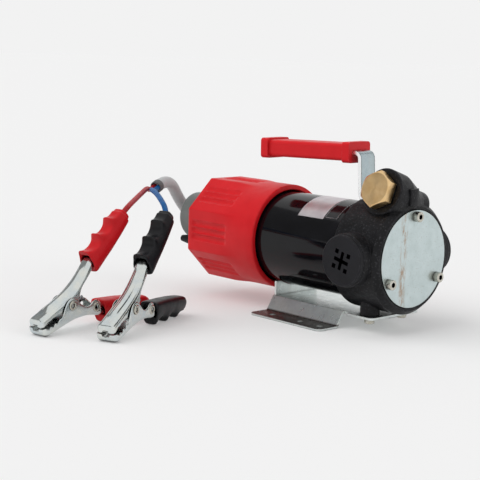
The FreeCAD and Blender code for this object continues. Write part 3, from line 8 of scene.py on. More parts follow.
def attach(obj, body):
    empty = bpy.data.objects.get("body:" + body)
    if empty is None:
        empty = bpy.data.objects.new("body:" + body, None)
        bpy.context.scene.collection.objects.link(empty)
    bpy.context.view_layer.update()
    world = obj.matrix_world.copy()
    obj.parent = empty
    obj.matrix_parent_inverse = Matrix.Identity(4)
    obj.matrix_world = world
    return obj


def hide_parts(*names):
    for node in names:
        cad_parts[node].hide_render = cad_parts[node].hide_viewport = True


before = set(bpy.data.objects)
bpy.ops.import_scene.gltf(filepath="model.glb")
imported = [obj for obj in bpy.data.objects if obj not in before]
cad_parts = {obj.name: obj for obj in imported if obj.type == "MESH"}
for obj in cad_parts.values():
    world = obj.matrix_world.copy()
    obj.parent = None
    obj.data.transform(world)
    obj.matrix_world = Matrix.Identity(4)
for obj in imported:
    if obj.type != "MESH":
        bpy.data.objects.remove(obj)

scene = bpy.context.scene
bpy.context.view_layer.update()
print("frame loaded:", len(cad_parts), "nodes")


# Colours are written as they look on a screen and turned linear here.
def colour(code):
    parts = [int(code[i:i + 2], 16) / 255 for i in (1, 3, 5)]
    return [c / 12.92 if c <= 0.04045 else ((c + 0.055) / 1.055) ** 2.4 for c in parts] + [1.0]


# Links a node's first output, or the output that is given, to an input of another node.
def plug(source, node, name):
    output = source.outputs[0] if isinstance(source, bpy.types.Node) else source
    node.id_data.links.new(output, node.inputs[name])


# Adds one shader node with its settings and links. A value goes into the property or the socket of its name: a hex
# colour is turned linear, and another node or its output is linked.
def add(tree, kind, values=None):
    made = tree.nodes.new("ShaderNode" + kind)
    for name, value in (values or {}).items():
        if not isinstance(name, int) and name not in made.inputs:
            setattr(made, name, value)
        elif isinstance(value, (bpy.types.Node, bpy.types.NodeSocket)):
            plug(value, made, name)
        else:
            made.inputs[name].default_value = colour(value) if isinstance(value, str) else value
    return made


# The node tree of a world or a material, emptied.
def emptyTree(owner):
    owner.use_nodes = True
    owner.node_tree.nodes.clear()
    return owner.node_tree


def intoScene(name, data):
    item = bpy.data.objects.new(name, data)
    scene.collection.objects.link(item)
    return item


def meshOf(shape, name):
    mesh = bpy.data.meshes.new(name)
    shape.to_mesh(mesh)
    shape.free()
    return mesh


# The camera stands where the photograph was taken from.
camera = {
    "place": (0.73569, -0.77387, 0.22339),
    "azimuth": 46.618,
    "pitch": 8.718,
    "roll": 1.775,
    "lens": 91.67,
    "sensor": 36,  # across the square picture
    "near": 0.01,
    "far": 200,
}


def makeCamera():
    turn, pitch, roll = (radians(camera[k]) for k in ("azimuth", "pitch", "roll"))
    back = Vector((sin(turn) * cos(pitch), -cos(turn) * cos(pitch), sin(pitch)))
    right = Vector((cos(turn), sin(turn), 0))
    up = back.cross(right)
    across = right * cos(roll) + up * sin(roll)
    above = up * cos(roll) - right * sin(roll)
    lens = bpy.data.cameras.new("photoCamera")
    lens.lens = camera["lens"]
    lens.sensor_width = camera["sensor"]
    lens.clip_start, lens.clip_end = camera["near"], camera["far"]
    eye = intoScene("photoCamera", lens)
    eye.matrix_world = Matrix.Translation(camera["place"]) @ Matrix((across, above, back)).transposed().to_4x4()
    scene.camera = eye


makeCamera()

# The sheath and its two wires run close to the solids' own corners, in metres.
lead = {
    "sheathRadius": 0.0055,
    "wireRadius": 0.0023,
    "sheath": [(-0.1325, -0.003, 0.066), (-0.1495, -0.003, 0.066), (-0.1563, -0.012, 0.0795),
               (-0.1495, -0.033, 0.105), (-0.1435, -0.051, 0.0978)],
    "red": [(-0.14587, -0.05179, 0.0978), (-0.14292, -0.06066, 0.09425), (-0.131, -0.0735, 0.0985),
            (-0.1098, -0.0971, 0.097), (-0.0795, -0.1303, 0.0951), (-0.0625, -0.1496, 0.0933),
            (-0.05978, -0.15727, 0.08847)],
    "blue": [(-0.14113, -0.05021, 0.0978), (-0.13817, -0.05908, 0.09425), (-0.1275, -0.07, 0.0965),
             (-0.1117, -0.0841, 0.0995), (-0.0823, -0.1022, 0.1003), (-0.0541, -0.1192, 0.0971),
             (-0.0404, -0.1269, 0.0935), (-0.03339, -0.13171, 0.08847)],
}
# How finely a cord is cut: the order of its spline, and the steps from point to point and round it.
fineness = {"order": 3, "along": 24, "round": 8}


def smoothLine(name, route, radius):
    line = bpy.data.curves.new(name, "CURVE")
    line.dimensions = "3D"
    run = line.splines.new("NURBS")
    run.points.add(len(route) - 1)
    for point, spot in zip(run.points, route):
        point.co = (*spot, 1)
        point.radius = radius
    run.order_u = fineness["order"]
    run.use_endpoint_u = True
    run.resolution_u = fineness["along"]
    # the points carry the radius, so the depth only turns it on
    line.bevel_depth = 1.0 if radius else 0.0
    line.bevel_resolution = fineness["round"]
    line.use_fill_caps = True
    return intoScene(name, line)


# The points of a route's own spline, in order.
def pointsOf(route):
    probe = smoothLine("probe", route, 0)
    probe.data.use_fill_caps = False
    mesh = bpy.data.meshes.new_from_object(probe)
    points = [v.co.copy() for v in mesh.vertices]
    bpy.data.curves.remove(probe.data)  # and the object with it
    bpy.data.meshes.remove(mesh)
    return points


# The new vertices and edges of an extruded row.
def grownFrom(shape, edges):
    grown = bmesh.ops.extrude_edge_only(shape, edges=edges)["geom"]
    verts = {g for g in grown if isinstance(g, bmesh.types.BMVert)}
    return verts, [g for g in grown if isinstance(g, bmesh.types.BMEdge) and all(v in verts for v in g.verts)]


# A row of points is extruded from place to place, so a skin grows along the stations.
def loft(stations, closed):
    shape = bmesh.new()
    row = [shape.verts.new(spot) for spot in stations[0]]
    edges = [shape.edges.new(pair) for pair in zip(row, row[1:])]
    if closed:
        edges.append(shape.edges.new((row[-1], row[0])))
    for spots in stations[1:]:
        fresh, edges = grownFrom(shape, edges)
        row = [next(e.other_vert(v) for e in v.link_edges if e.other_vert(v) in fresh) for v in row]
        for vert, spot in zip(row, spots):
            vert.co = spot
    return shape


def anglesRound(sides):
    return [tau * n / sides for n in range(sides)]


# A closed outline of (radius, distance along the axis) in millimetres, spun about the local Z axis.
def spun(outline, steps=40):
    shape = bmesh.new()
    row = [shape.verts.new((r, 0, z)) for r, z in outline]
    edges = [shape.edges.new(pair) for pair in zip(row, row[1:] + row[:1])]
    bmesh.ops.spin(shape, geom=row + edges, cent=(0, 0, 0), axis=(0, 0, 1), angle=tau, steps=steps,
                   use_merge=True)
    return shape


# Millimetres to metres, into place, doubles merged and faces turned outwards from the core.
def settle(shape, name, place, body, core=None, smooth=True):
    bmesh.ops.remove_doubles(shape, verts=shape.verts, dist=0.001)
    bmesh.ops.recalc_face_normals(shape, faces=shape.faces)
    if core is not None:
        lean = sum((f.calc_center_median() - Vector(core)).dot(f.normal) * f.calc_area() for f in shape.faces)
        if lean < 0:
            bmesh.ops.reverse_faces(shape, faces=shape.faces)
    bmesh.ops.transform(shape, matrix=place @ Matrix.Scale(0.001, 4), verts=shape.verts)
    for face in shape.faces:
        face.smooth = smooth
    item = intoScene(name, meshOf(shape, name))
    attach(item, body)
    return item


def smoothOver(item, levels):
    skin = item.modifiers.new("smooth", "SUBSURF")
    skin.levels = skin.render_levels = levels


# Gives a skin a wall in millimetres, inwards from it or, with an offset of 1, outwards.
def thicken(item, wall, offset=-1, rim=0.0):
    made = item.modifiers.new("wall", "SOLIDIFY")
    made.thickness = wall / 1000
    made.offset = offset
    made.edge_crease_rim = rim


# Black rubber boot that carries the sheath out of its gland, tapering, grooved between two shares of its length.
boot = {"length": 22.0, "thick": 7.6, "thin": 6.0, "groove": 0.7, "grooves": 4, "grooved": (0.12, 0.92),
        "bite": 0.05, "sides": 32}


def makeBoot():
    line = pointsOf(lead["sheath"])
    side = (line[1] - line[0]).normalized().cross(Vector((0, 0, 1))).normalized()
    inner = lead["sheathRadius"] * 1000 - boot["bite"]
    travelled, outer = 0.0, []
    for here, after in zip(line, line[1:]):
        way = (after - here).normalized()
        side = (side - way * side.dot(way)).normalized()
        share = travelled / (boot["length"] / 1000)
        if share > 1:
            break
        radius = boot["thick"] + (boot["thin"] - boot["thick"]) * share
        if boot["grooved"][0] < share < boot["grooved"][1]:
            radius -= boot["groove"] * max(0, cos(share * boot["grooves"] * tau)) ** 2
        outer.append((here * 1000, way, side.copy(), radius))
        travelled += (after - here).length

    def ring(spot, way, across, radius):
        other = way.cross(across)
        return [spot + (across * cos(a) + other * sin(a)) * radius for a in anglesRound(boot["sides"])]

    rings = [ring(*spot[:3], inner) for spot in outer[::-1]] + [ring(*spot) for spot in outer]
    rings.append(rings[0])
    return settle(loft(rings, True), "strainRelief", Matrix.Identity(4), "pump")


# The cut end of the sheath, an open tube with the two wires coming out of it.
openEnd = {"outer": 5.75, "inner": 4.85, "out": 3.4, "back": 2.5, "sunk": 0.4, "slope": 0.5, "round": 0.2,
           "boreRound": 0.15}


def makeOpenEnd():
    corner, end = (Vector(lead["sheath"][n]) for n in (-2, -1))
    outer, inner, out, back = (openEnd[k] for k in ("outer", "inner", "out", "back"))
    soft, boreSoft = openEnd["round"], openEnd["boreRound"]
    shape = spun([(inner, -openEnd["sunk"]), (outer - soft, -back), (outer, openEnd["slope"] - back),
                  (outer, out - soft), (outer - soft, out), (inner + boreSoft, out), (inner, out - boreSoft)])
    turn = (end - corner).normalized().to_track_quat("Z", "Y").to_matrix().to_4x4()
    return settle(shape, "sheathEnd", Matrix.Translation(end) @ turn, "pump")


def makeLead():
    sheath = smoothLine("cableSheath", lead["sheath"], lead["sheathRadius"])
    redWire = smoothLine("redWire", lead["red"], lead["wireRadius"])
    blueWire = smoothLine("blueWire", lead["blue"], lead["wireRadius"])
    for piece, node, slot in ((sheath, "cable_sheath", "grey_sheath"), (redWire, "red_wire", "red_insulation"),
                              (blueWire, "blue_wire", "blue_insulation")):
        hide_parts(node)
        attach(piece, "pump")
    return sheath, redWire, blueWire


strainRelief, sheathEnd = makeBoot(), makeOpenEnd()
sheath, redWire, blueWire = makeLead()
print("lead laid")

# Even pale light from all round, a little more from above and from both sides, so that floor and backdrop are one
# colour up to the horizon. Each sun has a place, a strength and a spread in degrees.
studio = {
    "background": "#F2F2F2",
    "floor": "#DADADA",
    "floorGlow": 0.201,
    "floorRadius": 40,
    "sky": 0.62,
    "suns": {"topSun": ((-0.3, -0.55, 0.8), 0.9, 50), "leftSun": ((-0.9, -0.42, 0.28), 0.8, 40),
             "rightSun": ((0.9, 0.3, 0.45), 0.5, 40)},
}


# One for every ray that ends in the picture or in a mirrored or clear surface, none for the light itself.
def shownToEye(tree):
    ray = add(tree, "LightPath").outputs
    seen = add(tree, "Math", {"operation": "MAXIMUM", 0: ray["Is Camera Ray"], 1: ray["Is Glossy Ray"]})
    return add(tree, "Math", {"operation": "MAXIMUM", 0: seen, 1: ray["Is Transmission Ray"]})


def makeWorld():
    scene.world = bpy.data.worlds.new("paleStudio")
    tree = emptyTree(scene.world)
    soft = add(tree, "Background", {"Color": "#FFFFFF", "Strength": studio["sky"]})
    plain = add(tree, "Background", {"Color": studio["background"]})
    both = add(tree, "MixShader", {0: shownToEye(tree), 1: soft, 2: plain})
    add(tree, "OutputWorld", {"Surface": both})


def makeFloor():
    shape = bmesh.new()
    bmesh.ops.create_circle(shape, cap_ends=True, segments=64, radius=studio["floorRadius"])
    floor = intoScene("floor", meshOf(shape, "floor"))
    paper = bpy.data.materials.new("backdropPaper")
    tree = emptyTree(paper)
    matt = add(tree, "BsdfDiffuse", {"Color": studio["floor"]})
    glow = add(tree, "Emission", {"Color": "#FFFFFF", "Strength": studio["floorGlow"]})
    dark = add(tree, "Emission", {"Strength": 0.0})
    lit = add(tree, "MixShader", {0: shownToEye(tree), 1: dark, 2: glow})
    total = add(tree, "AddShader", {0: matt, 1: lit})
    add(tree, "OutputMaterial", {"Surface": total})
    floor.data.materials.append(paper)


def makeSuns():
    for name, (spot, strength, spread) in studio["suns"].items():
        lamp = bpy.data.lights.new(name, "SUN")
        lamp.energy = strength
        lamp.angle = radians(spread)
        item = intoScene(name, lamp)
        item.rotation_euler = Vector(spot).to_track_quat("Z", "Y").to_euler()
        item.visible_glossy = False


# Cards of grey and black felt stand round the set and show only in reflections, as in a product studio. Each has a
# place, a width, a height and a brightness, and faces the pump.
cards = {
    "leftFelt": ((-0.95, -0.42, 0.66), 1.35, 0.74, 0.26),
    "frontFelt": ((-0.05, -1.15, 0.62), 0.8, 0.5, 0.20),
    "backFelt": ((0.45, 0.72, 1.05), 1.0, 0.42, 0.03),
}
cardsFace = (0, 0, 0.07)


def makeCards():
    for name, (spot, width, height, strength) in cards.items():
        felt = bpy.data.materials.new(name)
        tree = emptyTree(felt)
        glow = add(tree, "Emission", {"Color": "#FFFFFF", "Strength": strength})
        add(tree, "OutputMaterial", {"Surface": glow})
        shape = bmesh.new()
        facing = (Vector(cardsFace) - Vector(spot)).to_track_quat("Z", "Y").to_matrix().to_4x4()
        bmesh.ops.create_grid(shape, x_segments=1, y_segments=1, size=0.5)
        bmesh.ops.transform(shape, verts=shape.verts,
                            matrix=Matrix.Translation(spot) @ facing @ Matrix.Diagonal((width, height, 1, 1)))
        card = intoScene(name, meshOf(shape, name))
        card.data.materials.append(felt)
        card.visible_camera = card.visible_diffuse = card.visible_shadow = card.visible_transmission = False


makeWorld()
makeFloor()
makeSuns()
makeCards()
scene.view_settings.view_transform = "Standard"
print("camera and studio ready")

# The clamps are pressed from sheet. Each jaw is drawn about its rivet in millimetres, x from the nose to the
# handle and z up, as stations of (x and z of the web, x and z of the open edge, half width, height of the bead).
clamps = {
    "tilt": 18.843,
    "height": 21.653,
    "rivets": {"red": (-50.5, -220.1, 98.4), "black": (-9.6, -190.6, 112.0)},  # x, y and compass angle
    "wall": 1.2,
    "rimCrease": 0.6,
    "smooth": 2,
    "fold": 2.1,
    "bead": 2.0,
    "beadFoot": 0.4,  # the bead's foot and top, in shares of the half width
    "beadTop": 0.34,
    "flangeRows": {"upper": (0.3, 0.66), "lower": (0.32, 0.76)},  # shares of the way from the open edge to the fold
    "noseLean": (0.9, 1.0, 0.8),  # of the front wall's rows, from the open edge up
    "noseNotch": {"upper": 2.4, "lower": -2.0},
    "eye": (23.8, -13.2),  # x and z of the eye in the lower jaw's ear
    "eyeReach": 2.2,
    "flangeFrom": 7,  # faces further out than this to the side are a flange's
}

upperJaw = [
    (-32.4, 2.9, -33, -3.4, 7.4, 0), (-30.6, 3.3, -31, -3.6, 7.75, 0), (-28.4, 3.5, -28.4, -2.2, 7.75, 0),
    (-26, 3.8, -26, -1.2, 7.75, 0), (-23.4, 4.1, -23.4, -1.9, 7.75, 0), (-21.2, 4.5, -21.2, -0.3, 7.75, 0.2),
    (-18.8, 4.9, -18.8, -1.2, 7.75, 0.9), (-16, 5.3, -16, -0.2, 7.75, 1), (-13.4, 5.6, -13.4, -0.9, 7.7, 1),
    (-11, 5.9, -11, -1.8, 7.7, 1), (-7, 6.5, -7, -3.6, 7.6, 1), (-2.5, 7.2, -3, -5, 7.5, 1),
    (2, 8.2, 1.5, -5.2, 7.4, 1), (6, 9.2, 6, -4.2, 7.3, 1), (9.6, 10.5, 9.4, -0.6, 7.2, 1),
    (12.4, 11.7, 12.2, 4.4, 7, 1), (15, 12.9, 15.4, 8.2, 6.8, 1), (18.8, 15.1, 20, 10.4, 6.5, 1),
    (22.4, 17.4, 24.2, 12.4, 6.2, 0.9), (25, 19.3, 27.4, 13.8, 5.9, 0.3), (27.4, 21.1, 29.8, 15.3, 5.6, 0),
    (30.2, 23.2, 32.6, 17.2, 5.5, 0), (35, 25.4, 38, 19.6, 5.5, 0), (42, 28.5, 44.6, 22.6, 5.5, 0)]

lowerJaw = [
    (-33.2, -11.2, -33.4, -4.3, 8.8, 0), (-30.8, -12.4, -31, -4.4, 9.25, 0), (-28.2, -12.3, -28.4, -6.9, 9.25, 0),
    (-25.8, -12.3, -26, -5.4, 9.25, 0), (-23.2, -12.2, -23.4, -7, 9.25, 0),
    (-20.8, -12.2, -21, -4.9, 9.25, 0), (-18.4, -12.2, -18.6, -6.3, 9.25, 0),
    (-15.8, -12.2, -16, -4.2, 9.25, 0), (-13.2, -12.3, -13.4, -4.4, 9.25, 0),
    (-10.8, -12.3, -11, -2.2, 9.25, 0), (-8, -12.4, -8.2, 1.4, 9.25, 0), (-5, -12.5, -5.2, 4.4, 9.25, 0),
    (-2, -12.7, -2.2, 6, 9.25, 0), (1, -13, 1, 6.3, 9.25, 0), (3.6, -13.5, 3.8, 5.2, 9.25, 0),
    (6, -14.1, 6.4, 2.2, 9.2, 0), (8.6, -14.8, 8.8, -2.6, 9.1, 0), (11.6, -15.6, 11.6, -6.8, 9, 0),
    (15.2, -17, 15.4, -8.6, 8.9, 0), (18.6, -18.6, 18.8, -8.2, 8.8, 0), (21.3, -20, 21.3, -6.8, 8.8, 0),
    (24.6, -21.8, 25.4, -7, 8.7, 0), (26.6, -22.7, 28.4, -9.4, 8.3, 0), (28, -23.3, 30.9, -14, 7.2, 0),
    (29.6, -23.8, 32, -17.4, 5.6, 0), (33.6, -25.2, 35.8, -19.1, 5.5, 0), (40.4, -27.6, 42.6, -21.6, 5.5, 0)]


def clampPlace(side):
    x, y, compass = clamps["rivets"][side]
    return (Matrix.Translation((x / 1000, y / 1000, clamps["height"] / 1000))
            @ Matrix.Rotation(radians(compass), 4, "Z")
            @ Matrix.Rotation(radians(-clamps["tilt"]), 4, "Y"))


# One cross-section of a channel: up one flange, round the fold, over the web with its bead, and down again.
def channelRow(xWeb, zWeb, xEdge, zEdge, half, bead, rows):
    web, edge = Vector((xWeb, 0, zWeb)), Vector((xEdge, 0, zEdge))
    down = edge - web
    fold = web + down.normalized() * clamps["fold"]
    outward = -down.normalized() * bead * clamps["bead"]
    one = [(-half, edge), (-half, edge + (fold - edge) * rows[0]), (-half, edge + (fold - edge) * rows[1]),
           (-half, fold), (-half + clamps["fold"], web), (-half * clamps["beadFoot"], web),
           (-half * clamps["beadTop"], web + outward)]
    spots = [Vector((p.x, y, p.z)) for y, p in one]
    return spots + [Vector((s.x, -s.y, s.z)) for s in spots[::-1]]


# The nose is closed by a front wall that follows the first cross-section inwards, notched in the middle.
def noseRows(first, level):
    fold = first[3:-3]
    ends, middle = (0, len(fold) - 1), (len(fold) // 2 - 1, len(fold) // 2)
    rows = [fold]
    for n in (2, 1, 0):
        row = []
        for number, spot in enumerate(fold):
            lean = 0 if number in ends else clamps["noseLean"][n]
            notch = clamps["noseNotch"][level] if n == 0 and number in middle else 0
            row.append(Vector((first[n].x - lean, spot.y, first[n].z + notch)))
        rows.append(row)
    return rows


def makeJaw(side, level, stations, body):
    rows = [channelRow(*station, clamps["flangeRows"][level]) for station in stations]
    shape = loft(rows, False)
    nose = meshOf(loft(noseRows(rows[0], level), False), "noseWall")
    shape.from_mesh(nose)
    bpy.data.meshes.remove(nose)
    if level == "lower":
        # the ear's eye is the face of the flange round it, taken out on both sides
        eye = [f for f in shape.faces if abs(f.calc_center_median().y) > clamps["flangeFrom"]
               and (f.calc_center_median().xz - Vector(clamps["eye"])).length < clamps["eyeReach"]]
        bmesh.ops.delete(shape, geom=eye, context="FACES_ONLY")
    middle = stations[len(stations) // 2]
    jaw = settle(shape, side + level.capitalize() + "Jaw", clampPlace(side), body,
                 core=((middle[0] + middle[2]) / 2, 0, middle[3]))
    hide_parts(f"{side}_{level}_jaw")
    thicken(jaw, clamps["wall"], rim=clamps["rimCrease"])
    smoothOver(jaw, clamps["smooth"])
    return jaw


# The sleeves are dipped vinyl, open at a slanted mouth, with hooked ridges along the outer side and a stepped
# collar at the wire. Each station is (distance from the rivet on the inner side and on the outer side, inner
# side, outer side, half width), measured along and across the handle.
sleeve = [
    (50.0, 50.0, 2.4, 9.4, 4.6), (38.0, 42.4, 2.2, 9.8, 4.8), (36.4, 41.2, 1.0, 11.4, 5.4),
    (36.0, 40.8, -1.4, 15.4, 6.4), (36.5, 41.1, -2.4, 16.9, 7.0), (38.0, 42.0, -2.8, 16.6, 7.1),
    (41.0, 44.4, -2.8, 13.8, 7.1), (44.5, 47.4, -2.7, 11.8, 7.0), (49.0, 51.0, -2.6, 10.7, 6.9),
    (54.0, 55.0, -2.5, 10.8, 6.9), (57.4, 57.8, -2.4, 12.8, 6.9), (59.2, 59.4, -2.4, 16.5, 6.9),
    (60.0, 60.1, -2.3, 17.1, 6.9), (61.0, 61.0, -2.3, 16.4, 6.9), (63.2, 63.2, -2.2, 13.2, 6.8),
    (66.4, 66.4, -2.0, 10.9, 6.8), (70.4, 70.4, -1.8, 10.4, 6.7), (74.4, 74.4, -1.6, 11.6, 6.7),
    (76.9, 76.9, -1.4, 15.6, 6.6), (77.8, 77.8, -1.3, 16.8, 6.6), (78.8, 78.8, -1.2, 16.2, 6.6),
    (81.2, 81.2, -1.0, 13.6, 6.5), (85.2, 85.2, -0.7, 12.3, 6.4), (88.8, 88.8, -0.3, 12.6, 6.3),
    (89.4, 89.4, 0.0, 12.3, 6.1), (89.7, 89.7, 0.8, 11.6, 5.5), (92.4, 92.4, 1.2, 11.4, 5.3),
    (93.2, 93.2, 1.9, 10.8, 4.6)]
sleeveShift = {"upper": 0.0, "lower": 3.1}
handleTurn = {"upper": 24.0, "lower": -20.0}
# The ridges stand on a crest narrower than the sleeve, above a ledge from which a smooth bevel runs to each side.
crest = {"spread": 1.22, "share": 0.7, "ledge": 10.6, "drop": 0.7, "step": 0.35, "crown": 0.1, "shoulder": 0.62,
         "corner": 2.0, "cornerShare": 0.4}


def makeSleeve(side, level, body):
    turn, shift = radians(handleTurn[level]), sleeveShift[level]
    ahead = Vector((cos(turn), 0, sin(turn)))
    across = Vector((-sin(turn), 0, cos(turn))) * (1 if level == "upper" else -1)
    stations = []
    for near, far, low, high, half in sleeve:
        low, high = low + shift, high + shift
        half *= crest["spread"]
        ease, edge = min(crest["corner"], half * crest["cornerShare"]), half * crest["share"]
        ledge = min(high - crest["drop"], crest["ledge"] + shift)
        shoulder = low + (ledge - low) * crest["shoulder"]
        step = edge + crest["step"]
        flat = [(-half + ease, low), (0, low - crest["crown"]), (half - ease, low), (half, low + ease),
                (half, shoulder), (step, ledge), (edge, high), (0, high + crest["crown"]), (-edge, high),
                (-step, ledge), (-half, shoulder), (-half, low + ease)]
        stations.append([ahead * (near + (far - near) * (a - low) / (high - low)) + across * a + Vector((0, y, 0))
                         for y, a in flat])
    shape = loft(stations, True)
    bmesh.ops.holes_fill(shape, edges=[e for e in shape.edges if e.is_boundary], sides=0)
    item = settle(shape, side + level.capitalize() + "Sleeve", clampPlace(side), body)
    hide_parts(f"{side}_{level}_grip")
    smoothOver(item, clamps["smooth"])
    return item


# Hollow rivet with flared ends.
rivet = {"bore": 1.7, "shank": 2.5, "head": 3.9, "half": 9.25, "proud": 1.0, "round": 0.5, "slope": 0.7}


def makeRivet(side):
    bore, head, low, soft = rivet["bore"], rivet["head"], rivet["half"], rivet["round"]
    top = low + rivet["proud"]
    ends = [(bore, top - soft), (bore + soft, top), (head - rivet["slope"], top), (head, top - soft), (head, low),
            (rivet["shank"], low)]
    shape = spun(ends + [(r, -z) for r, z in ends[::-1]])
    lieAcross = Matrix.Rotation(radians(90), 4, "X")
    pin = settle(shape, side + "Rivet", clampPlace(side) @ lieAcross, "pump")
    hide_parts(side + "_rivet")
    return pin


# The flared eye in each ear, where a lead can be bolted on.
eyelet = {"bore": 2.1, "rim": 4.0, "half": 8.75, "proud": 0.8, "sunk": 0.6, "round": 0.3, "slope": 0.6,
          "slopeRise": 0.6, "lip": 0.1, "sides": 32}


def makeEyelets(side):
    bore, rim, half, soft = eyelet["bore"], eyelet["rim"], eyelet["half"], eyelet["round"]
    top, low = half + eyelet["proud"], half - eyelet["sunk"]
    outline = [(bore, low), (bore, top - soft), (bore + soft, top),
               (rim - eyelet["slope"], half + eyelet["proud"] * eyelet["slopeRise"]), (rim, half + eyelet["lip"]),
               (rim, low)]
    x, z = clamps["eye"]
    made = []
    for hand, word in ((1, "Near"), (-1, "Far")):
        spot = Matrix.Translation((x / 1000, 0, z / 1000)) @ Matrix.Rotation(radians(90 * hand), 4, "X")
        made.append(settle(spun(outline, eyelet["sides"]), side + "Eyelet" + word, clampPlace(side) @ spot,
                           side + "_clamp_jaw"))
    return made


clampPieces = {"jaw": [], "fastening": [], "red": [], "black": []}
for side, wire, length in (("red", redWire, 0.1423), ("black", blueWire, 0.1429)):
    clampPieces["jaw"] += [makeJaw(side, "upper", upperJaw, "pump"),
                           makeJaw(side, "lower", lowerJaw, side + "_clamp_jaw")]
    clampPieces["fastening"] += [makeRivet(side)] + makeEyelets(side)
    clampPieces[side] = [makeSleeve(side, "upper", "pump"), makeSleeve(side, "lower", side + "_clamp_jaw")]
print("clamps pressed and dipped")

# The cap and the plate lie round the motor's axis, at this height in millimetres.
axisHeight = 62.2
onAxis = Matrix.Translation((0, 0, axisHeight / 1000))

# The rear cap is moulded as an octagon that runs out into a round mouth. Its flats carry shallow scoops that fade
# at both ends. Distances run forward from the rear face, in millimetres.
cap = {
    "rear": -105.5, "length": 86.6,
    "corner": 49.0, "cornerRound": 2.0, "ring": 46.6, "mouth": 42.0, "seat": 41.05, "seatEnd": 53.0, "wall": 3.0,
    "fadeStart": 36.0, "fadeEnd": 66.0, "edge": 1.3, "lip": 0.8,
    "bend": [(0.0, 1.0), (0.13, 0.5), (0.5, 0.13), (1.0, 0.0)],  # how an edge rounds off, in shares of it
    "rows": [3, *range(10, 50, 4), *(55 + 2.5 * n for n in range(6)), 76],
    "fromCorner": (0.0, 0.4, 0.85, 2.0, 4.0), "besideScoops": 0.8,
    "scoops": 3, "scoopPitch": 6.2, "scoopDepth": 1.6, "scoopStart": 4.5, "scoopEnd": 53.0, "scoopFade": 5.0,
    "scoopPoints": 10, "fadeRows": 6,
    "holes": [(-34.6, -12.2, 4.2), (-15.5, 8.0, 8.0), (22.0, -26.0, 1.6), (-22.0, -26.0, 1.6)],
    "holeSides": 32, "sharp": 38,
}
halfFacet = pi / 8


def eased(value, low, high):
    share = min(1.0, max(0.0, (value - low) / (high - low)))
    return share * share * (3 - 2 * share)


# The polar reach of the octagon, its corners rounded.
def octagonReach(lean):
    flat, bend = cap["corner"] * cos(halfFacet), cap["cornerRound"]
    away = halfFacet - abs(lean)
    centre = cap["corner"] - bend / cos(halfFacet)
    if away * cap["corner"] < bend * sin(halfFacet):
        return centre * cos(away) + sqrt(bend ** 2 - (centre * sin(away)) ** 2)
    return flat / cos(lean)


# One ring of points round the cap at a distance from its rear face.
def capRow(s, inset):
    c = cap
    flat = c["corner"] * cos(halfFacet)
    reach = flat * tan(halfFacet)
    scoops, points = c["scoopPitch"] * c["scoops"] / 2, c["scoopPoints"]
    sides = [-reach + step for step in c["fromCorner"]] + [-scoops - c["besideScoops"]]
    across = sides + [-scoops + c["scoopPitch"] * n / points for n in range(c["scoops"] * points + 1)]
    across += [-v for v in sides[:0:-1]]
    depth = c["scoopDepth"] * eased(s, c["scoopStart"], c["scoopStart"] + c["scoopFade"]) * (
        1 - eased(s, c["scoopEnd"] - c["scoopFade"], c["scoopEnd"]))
    roundness = eased(s, c["fadeStart"], c["fadeEnd"])
    spots = []
    for facet in range(8):
        for v in across:
            lean = atan2(v, flat)
            angle = 2 * halfFacet * facet + lean
            straight = octagonReach(lean)
            radius = straight + (c["ring"] - straight) * roundness - inset
            if abs(v) < scoops:
                share = ((v + scoops) / c["scoopPitch"]) % 1.0
                radius -= depth * 4 * share * (1 - share)
            spots.append(Vector((c["rear"] + s, radius * sin(angle), radius * cos(angle))))
    return spots


def makeCap():
    c = cap
    bend = [(s * c["edge"], inset * c["edge"]) for s, inset in c["bend"]]
    fades = [start + c["scoopFade"] * n / c["fadeRows"] for start in (c["scoopStart"], c["scoopEnd"] - c["scoopFade"])
             for n in range(c["fadeRows"] + 1)]
    rows = [capRow(s, inset) for s, inset in bend]
    rows += [capRow(s, 0.0) for s in sorted(c["rows"] + fades)]
    rows += [capRow(c["length"] - s, inset) for s, inset in bend[::-1]]
    angles = [atan2(p.y, p.z) for p in rows[-1]]
    for s, radius in ((c["length"], c["mouth"] + c["lip"]), (c["length"] - c["lip"], c["mouth"]),
                      (c["wall"] + c["seatEnd"], c["mouth"]), (c["wall"] + c["seatEnd"], c["seat"]),
                      (c["wall"], c["seat"])):
        rows.append([Vector((c["rear"] + s, radius * sin(a), radius * cos(a))) for a in angles])
    shape = loft(rows, True)

    # the rear wall is filled on both faces, round the holes that run through it
    loops = [[e for e in shape.edges if e.is_boundary and all(abs(v.co.x - c["rear"] - s) < 0.01 for v in e.verts)]
             for s in (0, c["wall"])]
    for y, z, radius in c["holes"]:
        circle = [shape.verts.new((c["rear"], y + radius * cos(a), z + radius * sin(a)))
                  for a in anglesRound(c["holeSides"])]
        near = [shape.edges.new((circle[n - 1], circle[n])) for n in range(len(circle))]
        fresh, far = grownFrom(shape, near)
        bmesh.ops.translate(shape, verts=list(fresh), vec=(c["wall"], 0, 0))
        loops[0] += near
        loops[1] += far
    for loop in loops:
        bmesh.ops.triangle_fill(shape, edges=loop, use_beauty=True)
    item = settle(shape, "rearCapShell", onAxis, "pump")
    item.data.set_sharp_from_angle(angle=radians(c["sharp"]))
    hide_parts("rear_cap")
    return item


capShell = makeCap()
print("cap moulded")

# The rating plate is bare film: a silver field and a black band, wrapped over the near shoulder of the tube.
plate = {"start": 20.5, "join": 49.5, "end": 65.1, "margin": 0.8, "radius": 40.79, "from": 40.0, "to": 104.0,
         "steps": 40, "thick": 0.12}


